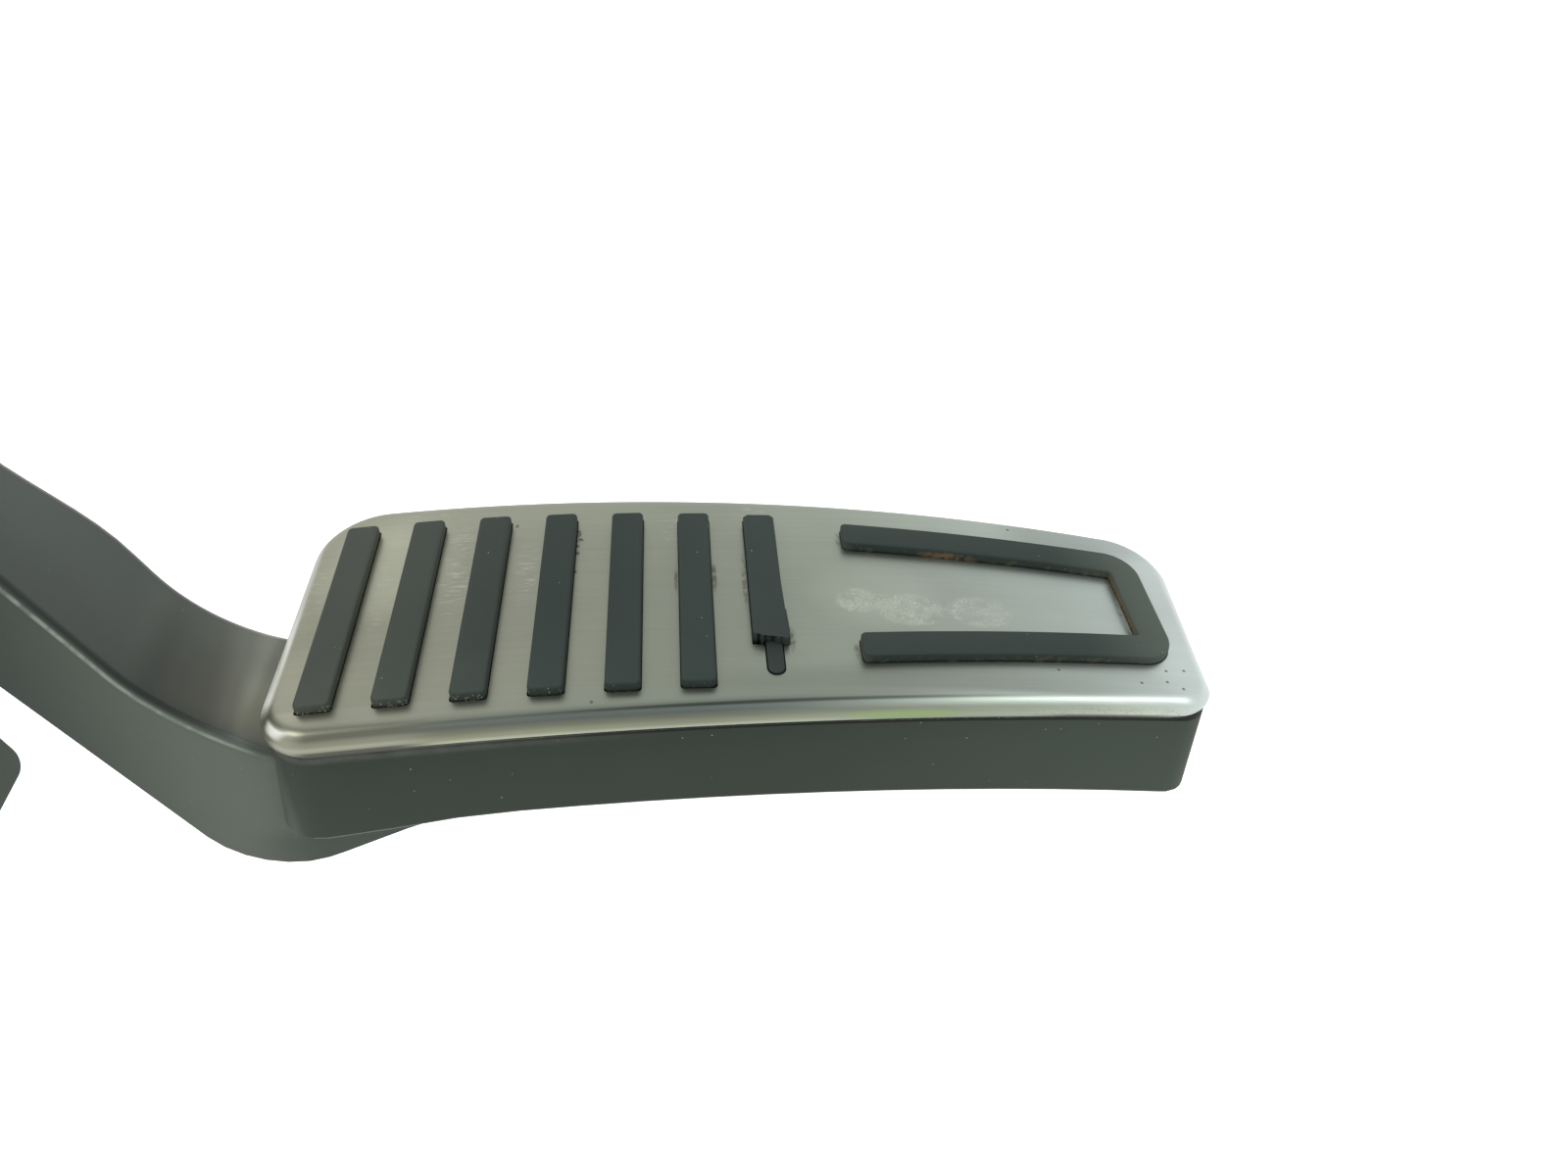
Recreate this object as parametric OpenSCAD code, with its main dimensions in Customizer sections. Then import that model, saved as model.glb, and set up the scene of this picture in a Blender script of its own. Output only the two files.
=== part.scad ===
// Accelerator pedal module: a hanging arm in a wall-mounted housing, and a
// steel-covered foot pad with rubber bars. X points from the bulkhead to the
// driver, Y across the car and Z up. The mounting face lies at X = 0, level
// with the pivot.

/* [Pad] */
// Distance from the reference bar to the pad's arm end
pad_to_arm_end = 47.6; // [43:0.1:52]
// Slant of the arm end, which reaches further on the near side
arm_end_slant = 0.2; // [0:0.1:2]
// Distance from the reference bar to the pad's toe end
pad_to_toe_end = 84.8; // [78:0.1:95]
// Slant of the toe end, which reaches further on the far side
toe_end_slant = 0.8; // [0:0.1:2]
// Half width of the pad at the reference bar
pad_half_w = 23.6; // [22:0.1:28]
// Narrowing of each long side towards the toe, in mm per mm
pad_taper = 0.03; // [0.01:0.005:0.05]
// Radius of the long sides' outward bow
pad_bow_r = 1360; // [900:10:2000]
// Radius of the crown along the pad
pad_crown_r = 435; // [380:5:900]
// Slope of the pad below the horizontal, in degrees
pad_tilt = 18; // [14:0.5:22]
// Distance of the reference bar ahead of the pivot
pad_ahead = 76; // [70:0.5:82]
// Distance of the reference bar below the pivot
pad_drop = 125; // [120:0.5:132]
// Sideways offset of the pad from the arm
pad_side = 10; // [8:0.5:11]
// Corner radius, far side at the arm end
corner_far_arm = 10.3; // [7:0.5:14]
// Corner radius, near side at the arm end
corner_near_arm = 8; // [6:0.5:14]
// Corner radius, far side at the toe
corner_far_toe = 9.5; // [6:0.5:14]
// Corner radius, near side at the toe
corner_near_toe = 6; // [5:0.5:14]

/* [Steel cover] */
// Thickness of the cover sheet
cover_t = 0.8; // [0.6:0.1:1]
// Outside radius of the rolled rim
rim_r = 2.5; // [1.8:0.1:3]
// Height of the rim, from the plate's top to its lower edge
rim_h = 3.2; // [3:0.1:4]
// Gap between a slot's edge and the rubber in it
slot_gap = 0.12; // [0.08:0.01:0.2]

/* [Rubber sheet] */
// Thickness of the sheet under the cover
sheet_t = 1.5; // [1.2:0.1:2]
// Height of the bars above the cover
bar_rise = 1.6; // [1:0.1:2]
// Width of a bar
bar_w = 4.7; // [3.5:0.1:6]
// Distance from bar to bar
bar_pitch = 10; // [9:0.1:11]
// Distance from the bars' far ends to the pad's far side
bar_far_margin = 6.4; // [5.6:0.1:8]
// Distance from the bars' near ends to the pad's near side
bar_near_margin = 3.6; // [3.3:0.1:6]
// Chamfer along the bars' upper edges
bar_chamfer = 0.5; // [0.2:0.1:0.7]
// Height of the band that shows under the rim
band_h = 0.9; // [0.7:0.1:1.2]
// Length of the last bar's full-width stump on the near side
torn_reach = 11; // [8:0.5:13]
// Width of the last bar's narrow tail
tail_w = 2.3; // [1.8:0.1:3]
// Where the U's open ends start
u_start = 32.6; // [30:0.1:36]
// Where the U's cross piece has its middle line
u_cross = 76.9; // [70:0.1:78]
// Half distance between the U's arms at their open ends
u_half_open = 12.3; // [11:0.1:13]
// Half distance between the U's arms at the cross piece
u_half_cross = 9.4; // [8:0.1:10]
// Radius of each stud that holds the sheet in the carrier
stud_r = 2.4; // [1.5:0.1:3]

/* [Pad carrier] */
// Thickness of the carrier's plate
carrier_t = 2.5; // [2:0.1:3]
// Distance from the cover's plate to the skirt's lower edge
skirt_h = 19.6; // [17:0.1:21]
// Extra depth of the skirt at its toe end
skirt_fall = 1.9; // [0:0.1:2.5]
// Wall of the skirt
skirt_wall = 2.2; // [1.8:0.1:2.6]
// Distance of the skirt's upper edge inside the rim
skirt_in = 0.7; // [0.5:0.1:1.2]
// Draft of the skirt, from its upper to its lower edge
skirt_draft = 0.3; // [0.2:0.1:1]
// Lean of the skirt's arm end, outwards at its lower edge
skirt_lean_arm = 1.5; // [0:0.1:2]
// Lean of the skirt's toe end, outwards at its lower edge
skirt_lean_toe = 2; // [0:0.1:3]
// Thickness of the carrier's ribs
rib_t = 1.6; // [1.2:0.1:2]

/* [Arm] */
// Width of the arm
arm_w = 19; // [17:0.5:20]
// Front face ahead of the pivot, at the pivot's height
arm_front = 5.3; // [4:0.1:7]
// Lean of the front face from the vertical, in degrees
front_lean = 7.2; // [6:0.1:8]
// Back face behind the pivot, at the pivot's height
arm_back = 10.6; // [9:0.1:12]
// Lean of the back face from the vertical, in degrees
back_lean = 9; // [8:0.1:10]
// Depth of the front bend below the pivot
bend_drop = 118.3; // [117:0.1:120]
// Radius of the front bend
bend_r = 25; // [18:0.5:26]
// Depth of the heel below the pivot
heel_drop = 144; // [142:0.5:148]
// Radius of the heel
heel_r = 12.5; // [10:0.5:16]
// Walls of the arm along its front and its top
arm_wall = 3; // [2.4:0.1:3.5]
// Walls of the arm at its two sides
arm_side_wall = 2.4; // [2:0.1:3]
// Width of the lip along the arm's edges
lip_w = 1.8; // [1.2:0.1:2.5]
// Height of the lip above the dished face
lip_h = 0.8; // [0.4:0.1:1.2]
// Narrowing of the arm on its far side above the front bend
neck_in = 5; // [2:0.1:6]
// Depth below the pivot where the narrowing ends
neck_drop = 71; // [60:0.5:76]
// Height over which the arm narrows
neck_len = 25; // [18:0.5:30]
// Reach of the arm's foot past the reference bar
foot_reach = 60; // [50:1:66]

/* [Pivot] */
// Distance of the pivot from the mounting face
pivot_x = 35; // [34:0.5:38]
// Radius of the pivot shaft
shaft_r = 4; // [3:0.1:5]
// Radius of the arm's hub
hub_r = 13; // [11:0.5:13.5]
// Width of the arm's hub
hub_w = 24; // [22:0.5:26]
// Length of the horn that lifts the springs
horn_len = 22; // [21:0.5:23]
// Radius of the horn's tip
horn_tip_r = 4; // [3:0.1:5]
// Width of the horn
horn_w = 16; // [12:0.5:18]
// Travel of the pedal in degrees
pedal_travel = 16; // [12:0.5:17]
// Running clearance between shaft and bushing
run_gap = 0.05; // [0.02:0.01:0.1]
// Wall of the bushings
bushing_wall = 2; // [1.5:0.1:2.5]

/* [Housing] */
// Wall of the housing
wall = 2.6; // [2:0.1:3.2]
// Gap between the hub and each side wall
side_gap = 0.6; // [0.4:0.1:1]
// Thickness of the back plate
back_t = 4; // [3:0.1:4.3]
// Inner height of the spring chamber above the pivot
chamber_h = 55; // [48:0.5:60]
// Front of the housing from the mounting face
housing_depth = 55; // [54:0.5:60]
// Thickness of the lower foot
foot_t = 6.2; // [5:0.1:7]
// Width of the lower foot
foot_w = 31; // [26:0.5:34]
// Depth of the foot's lower edge below the pivot
foot_drop = 131; // [128:0.5:136]
// Corner radius of the foot
foot_corner_r = 3; // [2:0.5:5]
// Sideways distance of the bolts from the arm's middle
bolt_side = 25; // [24:0.5:30]
// Height of the upper bolt above the pivot
bolt_high = 38; // [30:0.5:44]
// Depth of the two lower bolts below the pivot
bolt_low = 38; // [32:0.5:44]
// Radius of the bolt holes in the steel sleeves
bolt_r = 3.3; // [2.7:0.1:4.3]
// Wall of the steel sleeves
sleeve_wall = 1.6; // [1.2:0.1:2]
// Thickness of the bolt bosses
boss_t = 8; // [7:0.5:10]
// Radius of the locating peg behind the foot
peg_r = 4; // [3:0.1:5]
// Length of the locating peg
peg_len = 9; // [6:0.5:12]

/* [Springs] */
// Wire radius of the outer spring
outer_wire_r = 1; // [0.8:0.1:1.2]
// Mean radius of the outer spring
outer_coil_r = 7.1; // [6.8:0.1:7.4]
// Turns of the outer spring
outer_turns = 8; // [6:1:9]
// Wire radius of the inner spring
inner_wire_r = 0.7; // [0.5:0.1:0.8]
// Mean radius of the inner spring
inner_coil_r = 4.4; // [4.2:0.1:4.6]
// Turns of the inner spring
inner_turns = 10; // [8:1:12]
// Thickness of the spring seat's plate
seat_t = 2.5; // [2:0.1:3.5]
// Length of the seat's foot that rests on the horn
seat_foot = 3.5; // [3:0.1:4.5]

/* [Sensor] */
// Inner radius of the sensor chamber
sensor_r = 16.5; // [15:0.5:18]
// Depth of the chamber's ring on the housing
ring_h = 6; // [5:0.5:8]
// Depth of the sensor cover
sensor_cover_h = 12; // [11.6:0.1:14]
// Thickness of the seal
seal_t = 0.8; // [0.5:0.1:1.2]
// Thickness of the circuit board
board_t = 1.6; // [1:0.1:2]
// Inner width of the connector's mouth
mouth_w = 21; // [18:0.5:26]
// Inner depth of the connector's mouth, across the car
mouth_d = 8; // [7:0.5:9]
// Depth of the connector's mouth
mouth_h = 20; // [16:0.5:24]
// Number of terminals
terminals = 6; // [4:1:6]

/* [Stops and screws] */
// Radius of the two rubber stops
stop_r = 5; // [4:0.5:6]
// Gap between a stop and what meets it
stop_gap = 0.3; // [0.2:0.05:0.5]
// Gap between seated pieces
seat_gap = 0.05; // [0.03:0.01:0.1]
// Gap between a moving piece and what guides it
slide_gap = 0.4; // [0.3:0.05:0.6]
// Shank radius of the housing screws
screw_r = 1.75; // [1.5:0.05:2]
// Length of the housing screws' shanks
screw_len = 14; // [10:0.5:16]

/* [Hidden] */
$fn = 64;
eps = 0.01;

// Depths in the pad, measured down from the bars' tops
plate_d = bar_rise;
sheet_d = plate_d + cover_t + seat_gap;
carrier_d = sheet_d + sheet_t;
under_d = carrier_d + seat_gap + carrier_t;
rim_d = plate_d + rim_h;
shoulder_d = rim_d + seat_gap + band_h;
skirt_d = plate_d + skirt_h;
bead_w = 2;
wall_in = skirt_in + skirt_wall;
skirt_lean = [skirt_lean_arm, skirt_lean_toe];
tear_x = 2 * bar_pitch;
tail_shift = 0.5;

// Rounded outlines: each corner is [x, y, radius]
function unit(v) = v / norm(v);
function flat(p) = [p.x, p.y];
function turned(r, a) = [r * cos(a), r * sin(a)];
function arc_corner(a, b, c, r, n) =
    let (u = unit(a - b), v = unit(c - b), half = acos(u * v) / 2)
    let (m = b + unit(u + v) * r / sin(half), p = b + u * r / tan(half) - m)
    let (q = b + v * r / tan(half) - m, from = atan2(p.y, p.x))
    let (sweep = (atan2(q.y, q.x) - from + 540) % 360 - 180)
    [for (i = [0 : n]) m + turned(r, from + sweep * i / n)];
function rounded(pts, n = 6) =
    let (k = len(pts))
    [for (i = [0 : k - 1])
        let (a = pts[(i + k - 1) % k], b = pts[i], c = pts[(i + 1) % k])
        each (is_undef(b.z) || b.z == 0 ? [flat(b)] : arc_corner(flat(a), flat(b), flat(c), b.z, n))];

// Pieces drawn in the X-Z plane and laid across the car
module across(y0, y1) {
    translate([0, y1, 0]) rotate([90, 0, 0]) linear_extrude(y1 - y0) children();
}
module rod_across(r, y0, y1, x = 0, z = 0) {
    translate([x, y1, z]) rotate([90, 0, 0]) cylinder(r = r, h = y1 - y0);
}
module rod_ahead(r, x0, x1, y, z) {
    translate([x0, y, z]) rotate([0, 90, 0]) cylinder(r = r, h = x1 - x0);
}
module strut(a, b, t) {
    translate(a) rotate(atan2(b.y - a.y, b.x - a.x)) translate([0, -t / 2]) square([norm(b - a), t]);
}
module at_pivot() {
    translate([pivot_x, 0, 0]) children();
}
module at_pad() {
    translate([pivot_x + pad_ahead, pad_side, -pad_drop]) rotate([0, pad_tilt, 0]) children();
}

// The pad's plan, as a near and a far chain of as many points each
corner_steps = 6;
side_steps = 14;
function half_width(x) = pad_half_w - pad_taper * x - x * x / (2 * pad_bow_r);
function crown(x) = -x * x / (2 * pad_crown_r);
function chain(inset, lean, side, arm_r, toe_r) =
    let (ra = max(arm_r - inset, 0.6), rt = max(toe_r - inset, 0.6))
    let (xa = side * arm_end_slant - pad_to_arm_end - lean[0] + inset + ra)
    let (xt = side * toe_end_slant + pad_to_toe_end + lean[1] - inset - rt)
    let (ya = half_width(xa) - inset - ra, yt = half_width(xt) - inset - rt)
    [for (i = [0 : corner_steps])
        let (p = [xa, ya] + turned(ra, 180 - 90 * i / corner_steps)) [p.x, side * p.y],
     for (i = [1 : side_steps - 1])
        let (x = xa + (xt - xa) * i / side_steps) [x, side * (half_width(x) - inset)],
     for (i = [0 : corner_steps])
        let (p = [xt, yt] + turned(rt, 90 - 90 * i / corner_steps)) [p.x, side * p.y]];
function near_chain(inset, lean = [0, 0]) = chain(inset, lean, -1, corner_near_arm, corner_near_toe);
function far_chain(inset, lean = [0, 0]) = chain(inset, lean, 1, corner_far_arm, corner_far_toe);
function reversed(list) = [for (i = [len(list) - 1 : -1 : 0]) list[i]];
module pad_plan(inset) {
    polygon(concat(near_chain(inset), reversed(far_chain(inset))));
}

// A solid of the pad's plan whose level follows the crown; each ring is
// [distance inside the rim, depth below the bars' tops, lean of the arm end
// and the toe end, extra depth at the toe end], from the top down
module crowned(rings) {
    n = len(near_chain(0));
    pts = [for (ring = rings)
        let (lean = len(ring) > 2 ? ring[2] : [0, 0], fall = len(ring) > 3 ? ring[3] : 0)
        for (p = concat(near_chain(ring[0], lean), far_chain(ring[0], lean)))
            [p.x, p.y, crown(p.x) - ring[1] - fall * pow(p.x / pad_to_toe_end, 2)]];
    around = concat([for (i = [0 : n - 1]) i], [for (i = [2 * n - 1 : -1 : n]) i]);
    last = 2 * n * (len(rings) - 1);
    walls = [for (k = [0 : len(rings) - 2]) for (i = [0 : 2 * n - 1])
        let (a = 2 * n * k + around[i], b = 2 * n * k + around[(i + 1) % (2 * n)])
        each [[a, b, b + 2 * n], [a, b + 2 * n, a + 2 * n]]];
    tops = [for (i = [0 : n - 2]) each [[i, n + i, n + i + 1], [i, n + i + 1, i + 1]]];
    bottoms = [for (i = [0 : n - 2])
        let (a = last + i, b = last + n + i)
        each [[a, a + 1, b + 1], [a, b + 1, b]]];
    polyhedron(points = pts, faces = concat(tops, walls, bottoms));
}

// A raised rib laid along stations on the crown; each station is
// [x, y, heading, half width, depth of its top]
function profile(w, bottom_d, top, c) =
    c == 0 ? [[-w, bottom_d], [-w, top], [w, top], [w, bottom_d]]
        : [[-w, bottom_d], [-w, top + c], [-w + c, top], [w - c, top], [w, top + c], [w, bottom_d]];
module raised(stations, bottom_d, chamfer) {
    pts = [for (s = stations)
        let (n = turned(1, s[2] + 90))
        for (q = profile(s[3], bottom_d, s[4], chamfer))
            let (p = [s[0], s[1]] + q[0] * n) [p.x, p.y, crown(p.x) - q[1]]];
    m = len(profile(1, 1, 0, chamfer));
    last = m * (len(stations) - 1);
    walls = [for (k = [0 : len(stations) - 2]) for (i = [0 : m - 1])
        let (a = m * k + i, b = m * k + (i + 1) % m)
        each [[a, b, b + m], [a, b + m, a + m]]];
    start = [[for (i = [m - 1 : -1 : 0]) i]];
    end = [[for (i = [0 : m - 1]) last + i]];
    polyhedron(points = pts, faces = concat(start, walls, end));
}

function bar_x(i) = (i - 5) * bar_pitch;
function bar_near(x) = bar_near_margin - half_width(x);
function bar_far(x) = half_width(x) - bar_far_margin;
// A bar from y0 to y1; grow widens it into the slot around it
function bar_line(x, y0, y1, w, top, drop, grow = 0) =
    [[x, y0 - grow, 90, w / 2 + grow, top + drop],
     if (drop > 0) [x, y0 - grow + drop, 90, w / 2 + grow, top],
     if (drop > 0) [x, y1 + grow - drop, 90, w / 2 + grow, top],
     [x, y1 + grow, 90, w / 2 + grow, top + drop]];
u_turn_r = bar_w / 2 + 0.4;
u_slope = atan((u_half_open - u_half_cross) / (u_cross - u_start));
function u_line(top, drop, grow = 0) =
    let (g = grow, w = bar_w / 2 + grow, r = u_turn_r, a = u_slope)
    let (open = [u_start - g, u_half_open + g * tan(a)], c = [u_cross - r, u_half_cross - r + r * tan(a)])
    [[open.x, open.y, -a, w, top + drop],
     for (i = [drop > 0 ? 0 : 1 : 6])
        let (x = open.x + drop + (c.x - open.x - drop) * i / 6)
        [x, u_half_cross + (u_cross - x) * tan(a), -a, w, top],
     for (i = [1 : 5])
        let (h = -a - (90 - a) * i / 5) [c.x + r * cos(h + 90), c.y + r * sin(h + 90), h, w, top],
     for (i = [0 : 4])
        let (h = -90 - (90 - a) * i / 5) [c.x + r * cos(h + 90), -c.y + r * sin(h + 90), h, w, top],
     for (i = [6 : -1 : drop > 0 ? 0 : 1])
        let (x = open.x + drop + (c.x - open.x - drop) * i / 6)
        [x, -u_half_cross - (u_cross - x) * tan(a), 180 + a, w, top],
     [open.x, -open.y, 180 + a, w, top + drop]];
tail_y = bar_near(tear_x) + tail_w / 2 + 2.4;
module all_bars(top, bottom, chamfer, drop, grow = 0) {
    for (i = [1 : 6])
        raised(bar_line(bar_x(i), bar_near(bar_x(i)), bar_far(bar_x(i)), bar_w, top, drop, grow),
               bottom, chamfer);
    raised(bar_line(tear_x, -torn_reach, bar_far(tear_x), bar_w, top, drop, grow), bottom, chamfer);
    raised(u_line(top, drop, grow), bottom, chamfer);
}
module tail(top, bottom, grow = 0) {
    raised(bar_line(tear_x + tail_shift, tail_y, -torn_reach + 1, tail_w, top, 0, grow), bottom, 0);
    translate([tear_x + tail_shift, tail_y, crown(tear_x) - bottom])
        cylinder(r = tail_w / 2 + grow, h = bottom - top);
}

function rim_rings(r, inset, depth) =
    [for (a = [0 : 18 : 90]) [inset + r * (1 - sin(a)), depth + r * (1 - cos(a))]];

module pad_cover() color([0.72, 0.72, 0.68]) at_pad() difference() {
    crowned(concat(rim_rings(rim_r, 0, plate_d), [[0, rim_d]]));
    crowned(concat(rim_rings(rim_r - cover_t, cover_t, plate_d + cover_t), [[cover_t, rim_d + 1]]));
    all_bars(-1, sheet_d + 2, 0, 0, slot_gap);
    tail(-1, sheet_d + 2, slot_gap);
}

// Studs under the sheet, clear of the arm's foot
stud_spots = [for (x = [-21, -3, 19, 58]) [x, 12]];
stud_out = 1.7;
module pad_rubber() color([0.16, 0.18, 0.18]) at_pad() {
    difference() {
        crowned([[rim_r, sheet_d], [cover_t + 0.7, sheet_d + 0.4], [cover_t + 0.15, sheet_d + 1.4],
            [cover_t + 0.15, rim_d + seat_gap], [skirt_in - 0.2, rim_d + seat_gap],
            [skirt_in - 0.2, shoulder_d]]);
        crowned([[skirt_in + bead_w, carrier_d], [skirt_in + bead_w, shoulder_d + 1]]);
        arm_gate();
    }
    all_bars(0, sheet_d + 0.5, bar_chamfer, bar_chamfer);
    tail(plate_d - 0.2, sheet_d + 0.5);
    for (s = stud_spots) translate([s.x, s.y, crown(s.x) - under_d - stud_out]) {
        cylinder(r = stud_r, h = under_d + stud_out - sheet_d - 0.3);
        cylinder(r1 = stud_r, r2 = stud_r + 0.7, h = 1);
    }
}

// Where the arm passes under the rim and through the skirt's end wall
gate_d = rim_d + seat_gap + 0.5;
module arm_gate() {
    y0 = -pad_side - arm_w / 2 - 0.3;
    translate([-pad_to_arm_end - 5, y0, crown(-pad_to_arm_end) - skirt_d - 5])
        cube([5 + wall_in + 1.9, arm_w + 0.6, skirt_d + 5 - gate_d]);
}

// Ribs under the carrier, on the side that the arm leaves free
spine_y = -pad_side + arm_w / 2 + slide_gap;
rib_x = [-30, -13, 4, 33, 50, 66];
screw_x = [-12, 42];
screw_y = spine_y + 7;
lug_r = 4.2;
lug_d = skirt_d - 4.5;
module pad_carrier() color([0.25, 0.28, 0.26]) at_pad() difference() {
    union() {
        difference() {
            crowned([[skirt_in + bead_w + seat_gap, carrier_d + seat_gap],
                [skirt_in + bead_w + seat_gap, shoulder_d + seat_gap], [skirt_in, shoulder_d + seat_gap],
                [skirt_in + skirt_draft, skirt_d - 0.8, skirt_lean, skirt_fall],
                [skirt_in + skirt_draft + 0.5, skirt_d, skirt_lean, skirt_fall]]);
            crowned([[wall_in + 0.7, under_d], [wall_in + 0.2, under_d + 0.7],
                [wall_in + skirt_draft, skirt_d + 1, skirt_lean, skirt_fall]]);
        }
        intersection() {
            union() {
                translate([-pad_to_arm_end + 1, spine_y, -skirt_d - 2])
                    cube([pad_to_arm_end + pad_to_toe_end - 2, rib_t, skirt_d]);
                for (x = rib_x) translate([x, spine_y, -skirt_d]) cube([rib_t, 40, skirt_d - 2]);
            }
            crowned([[skirt_in + bead_w + 0.2, carrier_d + 1], [skirt_in + bead_w + 0.2, lug_d - 0.5]]);
        }
        for (x = screw_x) translate([x, screw_y, crown(x) - lug_d])
            cylinder(r = lug_r, h = lug_d - under_d + carrier_t / 2);
    }
    arm_gate();
    for (x = screw_x) translate([x, screw_y, -lug_d + crown(x) - 1]) cylinder(r = screw_r, h = 8);
    for (s = stud_spots) translate([s.x, s.y, -skirt_d]) cylinder(r = stud_r + seat_gap, h = skirt_d);
}

// The arm's ears lie under the carrier's lugs
ear_t = 2.6;
function ear_top(x) = crown(x) - lug_d - seat_gap;
module carrier_screws() color([0.62, 0.62, 0.6]) at_pad() for (x = screw_x) {
    translate([x, screw_y, ear_top(x) - ear_t - 2]) cylinder(r = 3.4, h = 2 - seat_gap);
    translate([x, screw_y, ear_top(x) - ear_t - 1]) cylinder(r = screw_r - seat_gap, h = 6.5);
}

// The arm's outline in the X-Z plane, from the pivot
function from_pad(x, z, r = 0) =
    [pad_ahead + x * cos(pad_tilt) + z * sin(pad_tilt),
     -pad_drop - x * sin(pad_tilt) + z * cos(pad_tilt), r];
arm_outline = rounded(concat(
    [[-arm_back, 0], [arm_front, 0],
     [arm_front + bend_drop * tan(front_lean), -bend_drop, bend_r],
     from_pad(-34, crown(-34) - under_d - 0.9, 2)],
    [for (x = [-26 : 8 : foot_reach]) from_pad(x, crown(x) - under_d - seat_gap * 2)],
    [from_pad(foot_reach, crown(foot_reach) - under_d - 1), from_pad(foot_reach, -skirt_d + 2, 4),
     from_pad(-6, -skirt_d + 1.9, 20),
     [-arm_back + heel_drop * tan(back_lean), -heel_drop, heel_r]]));
module arm_plan(shift = [0, 0]) {
    translate(shift) polygon(arm_outline);
}
// The arm seen from the front, so far inside its sides; it narrows above the bend
neck_steps = 8;
function eased(t) = t * t * (3 - 2 * t);
module arm_width(inset) {
    side = arm_w / 2 - inset;
    translate([-100, 0, 0]) rotate([90, 0, 90]) linear_extrude(300) polygon(concat(
        [[-side, 50], [-side, -200], [side, -200]],
        [for (i = [0 : neck_steps])
            [side - neck_in * eased(i / neck_steps), -neck_drop - neck_len * (1 - i / neck_steps)]],
        [[side - neck_in, 50]]));
}

horn_a = pedal_travel / 2;
horn_tip = -horn_len * [cos(horn_a), sin(horn_a)];
rib_nodes = [for (i = [0 : 6])
    let (z = -hub_r - 6 - 15 * i)
    [i % 2 == 0 ? arm_front - z * tan(front_lean) : -arm_back - z * tan(back_lean), z]];
module arm_ribs() {
    for (i = [0 : len(rib_nodes) - 2]) strut(rib_nodes[i], rib_nodes[i + 1], rib_t);
    for (x = [-44 : 17 : foot_reach - 5])
        strut(flat(from_pad(x, 0)), flat(from_pad(x, -skirt_d - 12)), rib_t);
}
// Space past the skirt's inner face, which the tapering foot keeps clear of
module past_skirt() {
    at_pad() translate([0, 0, -60]) linear_extrude(120) difference() {
        translate([-20, -60]) square([150, 120]);
        pad_plan(wall_in + 0.7 + slide_gap);
    }
}
// The arm's closed stretch that meets the full-travel stop
stop_z = -115;
module pedal_arm() color([0.24, 0.27, 0.26]) difference() {
    union() {
        difference() {
            at_pivot() intersection() {
                across(-arm_w / 2, arm_w / 2) arm_plan();
                arm_width(0);
            }
            past_skirt();
            at_pivot() intersection() {
                across(-arm_w / 2, arm_w / 2) difference() {
                    arm_plan();
                    arm_plan([-lip_h, -lip_h]);
                    translate([from_pad(-34, 0).x, -200]) square([200, 200]);
                }
                arm_width(lip_w);
            }
            at_pivot() intersection() {
                across(-arm_w / 2, arm_w / 2) intersection() {
                    arm_plan([-arm_wall, -arm_wall]);
                    translate([-50, -hub_r - 203]) square([200, 200]);
                }
                arm_width(arm_side_wall);
            }
        }
        at_pivot() intersection() {
            across(-arm_w / 2, arm_w / 2) intersection() {
                arm_plan([-1, -1]);
                arm_plan();
                arm_ribs();
            }
            arm_width(arm_side_wall - eps);
        }
        at_pivot() across(-arm_w / 2 + arm_side_wall - eps, arm_w / 2 - arm_side_wall + eps) difference() {
            intersection() {
                arm_plan();
                translate([-30, stop_z - 14]) square([60, 24]);
            }
            arm_plan([arm_wall, 0]);
        }
        at_pivot() rod_across(hub_r, -hub_w / 2, hub_w / 2);
        at_pivot() rod_across(horn_tip_r, -horn_w / 2, horn_w / 2, horn_tip.x, horn_tip.y);
        at_pivot() across(-horn_w / 2, horn_w / 2) polygon([
            horn_tip + turned(horn_tip_r, horn_a + 90), turned(horn_tip_r - 3.2, 90),
            turned(horn_tip_r + 3, -90), horn_tip + turned(horn_tip_r, horn_a - 90)]);
        at_pad() for (x = screw_x) {
            translate([x, screw_y, ear_top(x) - ear_t]) cylinder(r = lug_r, h = ear_t);
            translate([x - lug_r, -pad_side + arm_w / 2 - 1, ear_top(x) - ear_t])
                cube([2 * lug_r, screw_y + pad_side - arm_w / 2 + 1, ear_t]);
        }
    }
    at_pivot() rod_across(shaft_r + 0.02, -hub_w, hub_w);
    at_pad() for (x = screw_x)
        translate([x, screw_y, -skirt_d - 10]) cylinder(r = screw_r + 0.2, h = skirt_d);
}

// Levels across the car, from the arm's middle
inner_y = hub_w / 2 + side_gap;
outer_y = inner_y + wall;
bush_r = shaft_r + run_gap + bushing_wall;
bush_len = wall + 3;
boss_r = bush_r + 2.4;

magnet_r = 7.6;
carrier_y = outer_y + 3.4;
module pivot_shaft() color([0.75, 0.75, 0.76]) at_pivot()
    rod_across(shaft_r, -outer_y - 2.6, carrier_y + 3.4);
module magnet_carrier() color([0.2, 0.2, 0.21]) at_pivot() difference() {
    union() {
        rod_across(magnet_r + 1.4, carrier_y, carrier_y + 1.4);
        rod_across(magnet_r - 2.2, carrier_y, carrier_y + 4);
    }
    rod_across(shaft_r + 0.02, carrier_y - 1, carrier_y + 3.4 + 0.02);
}
module ring_magnet() color([0.33, 0.33, 0.35]) at_pivot() difference() {
    rod_across(magnet_r, carrier_y + 1.4 + 0.02, carrier_y + 4.2);
    rod_across(magnet_r - 2.2 + 0.02, carrier_y, carrier_y + 6);
}

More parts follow.
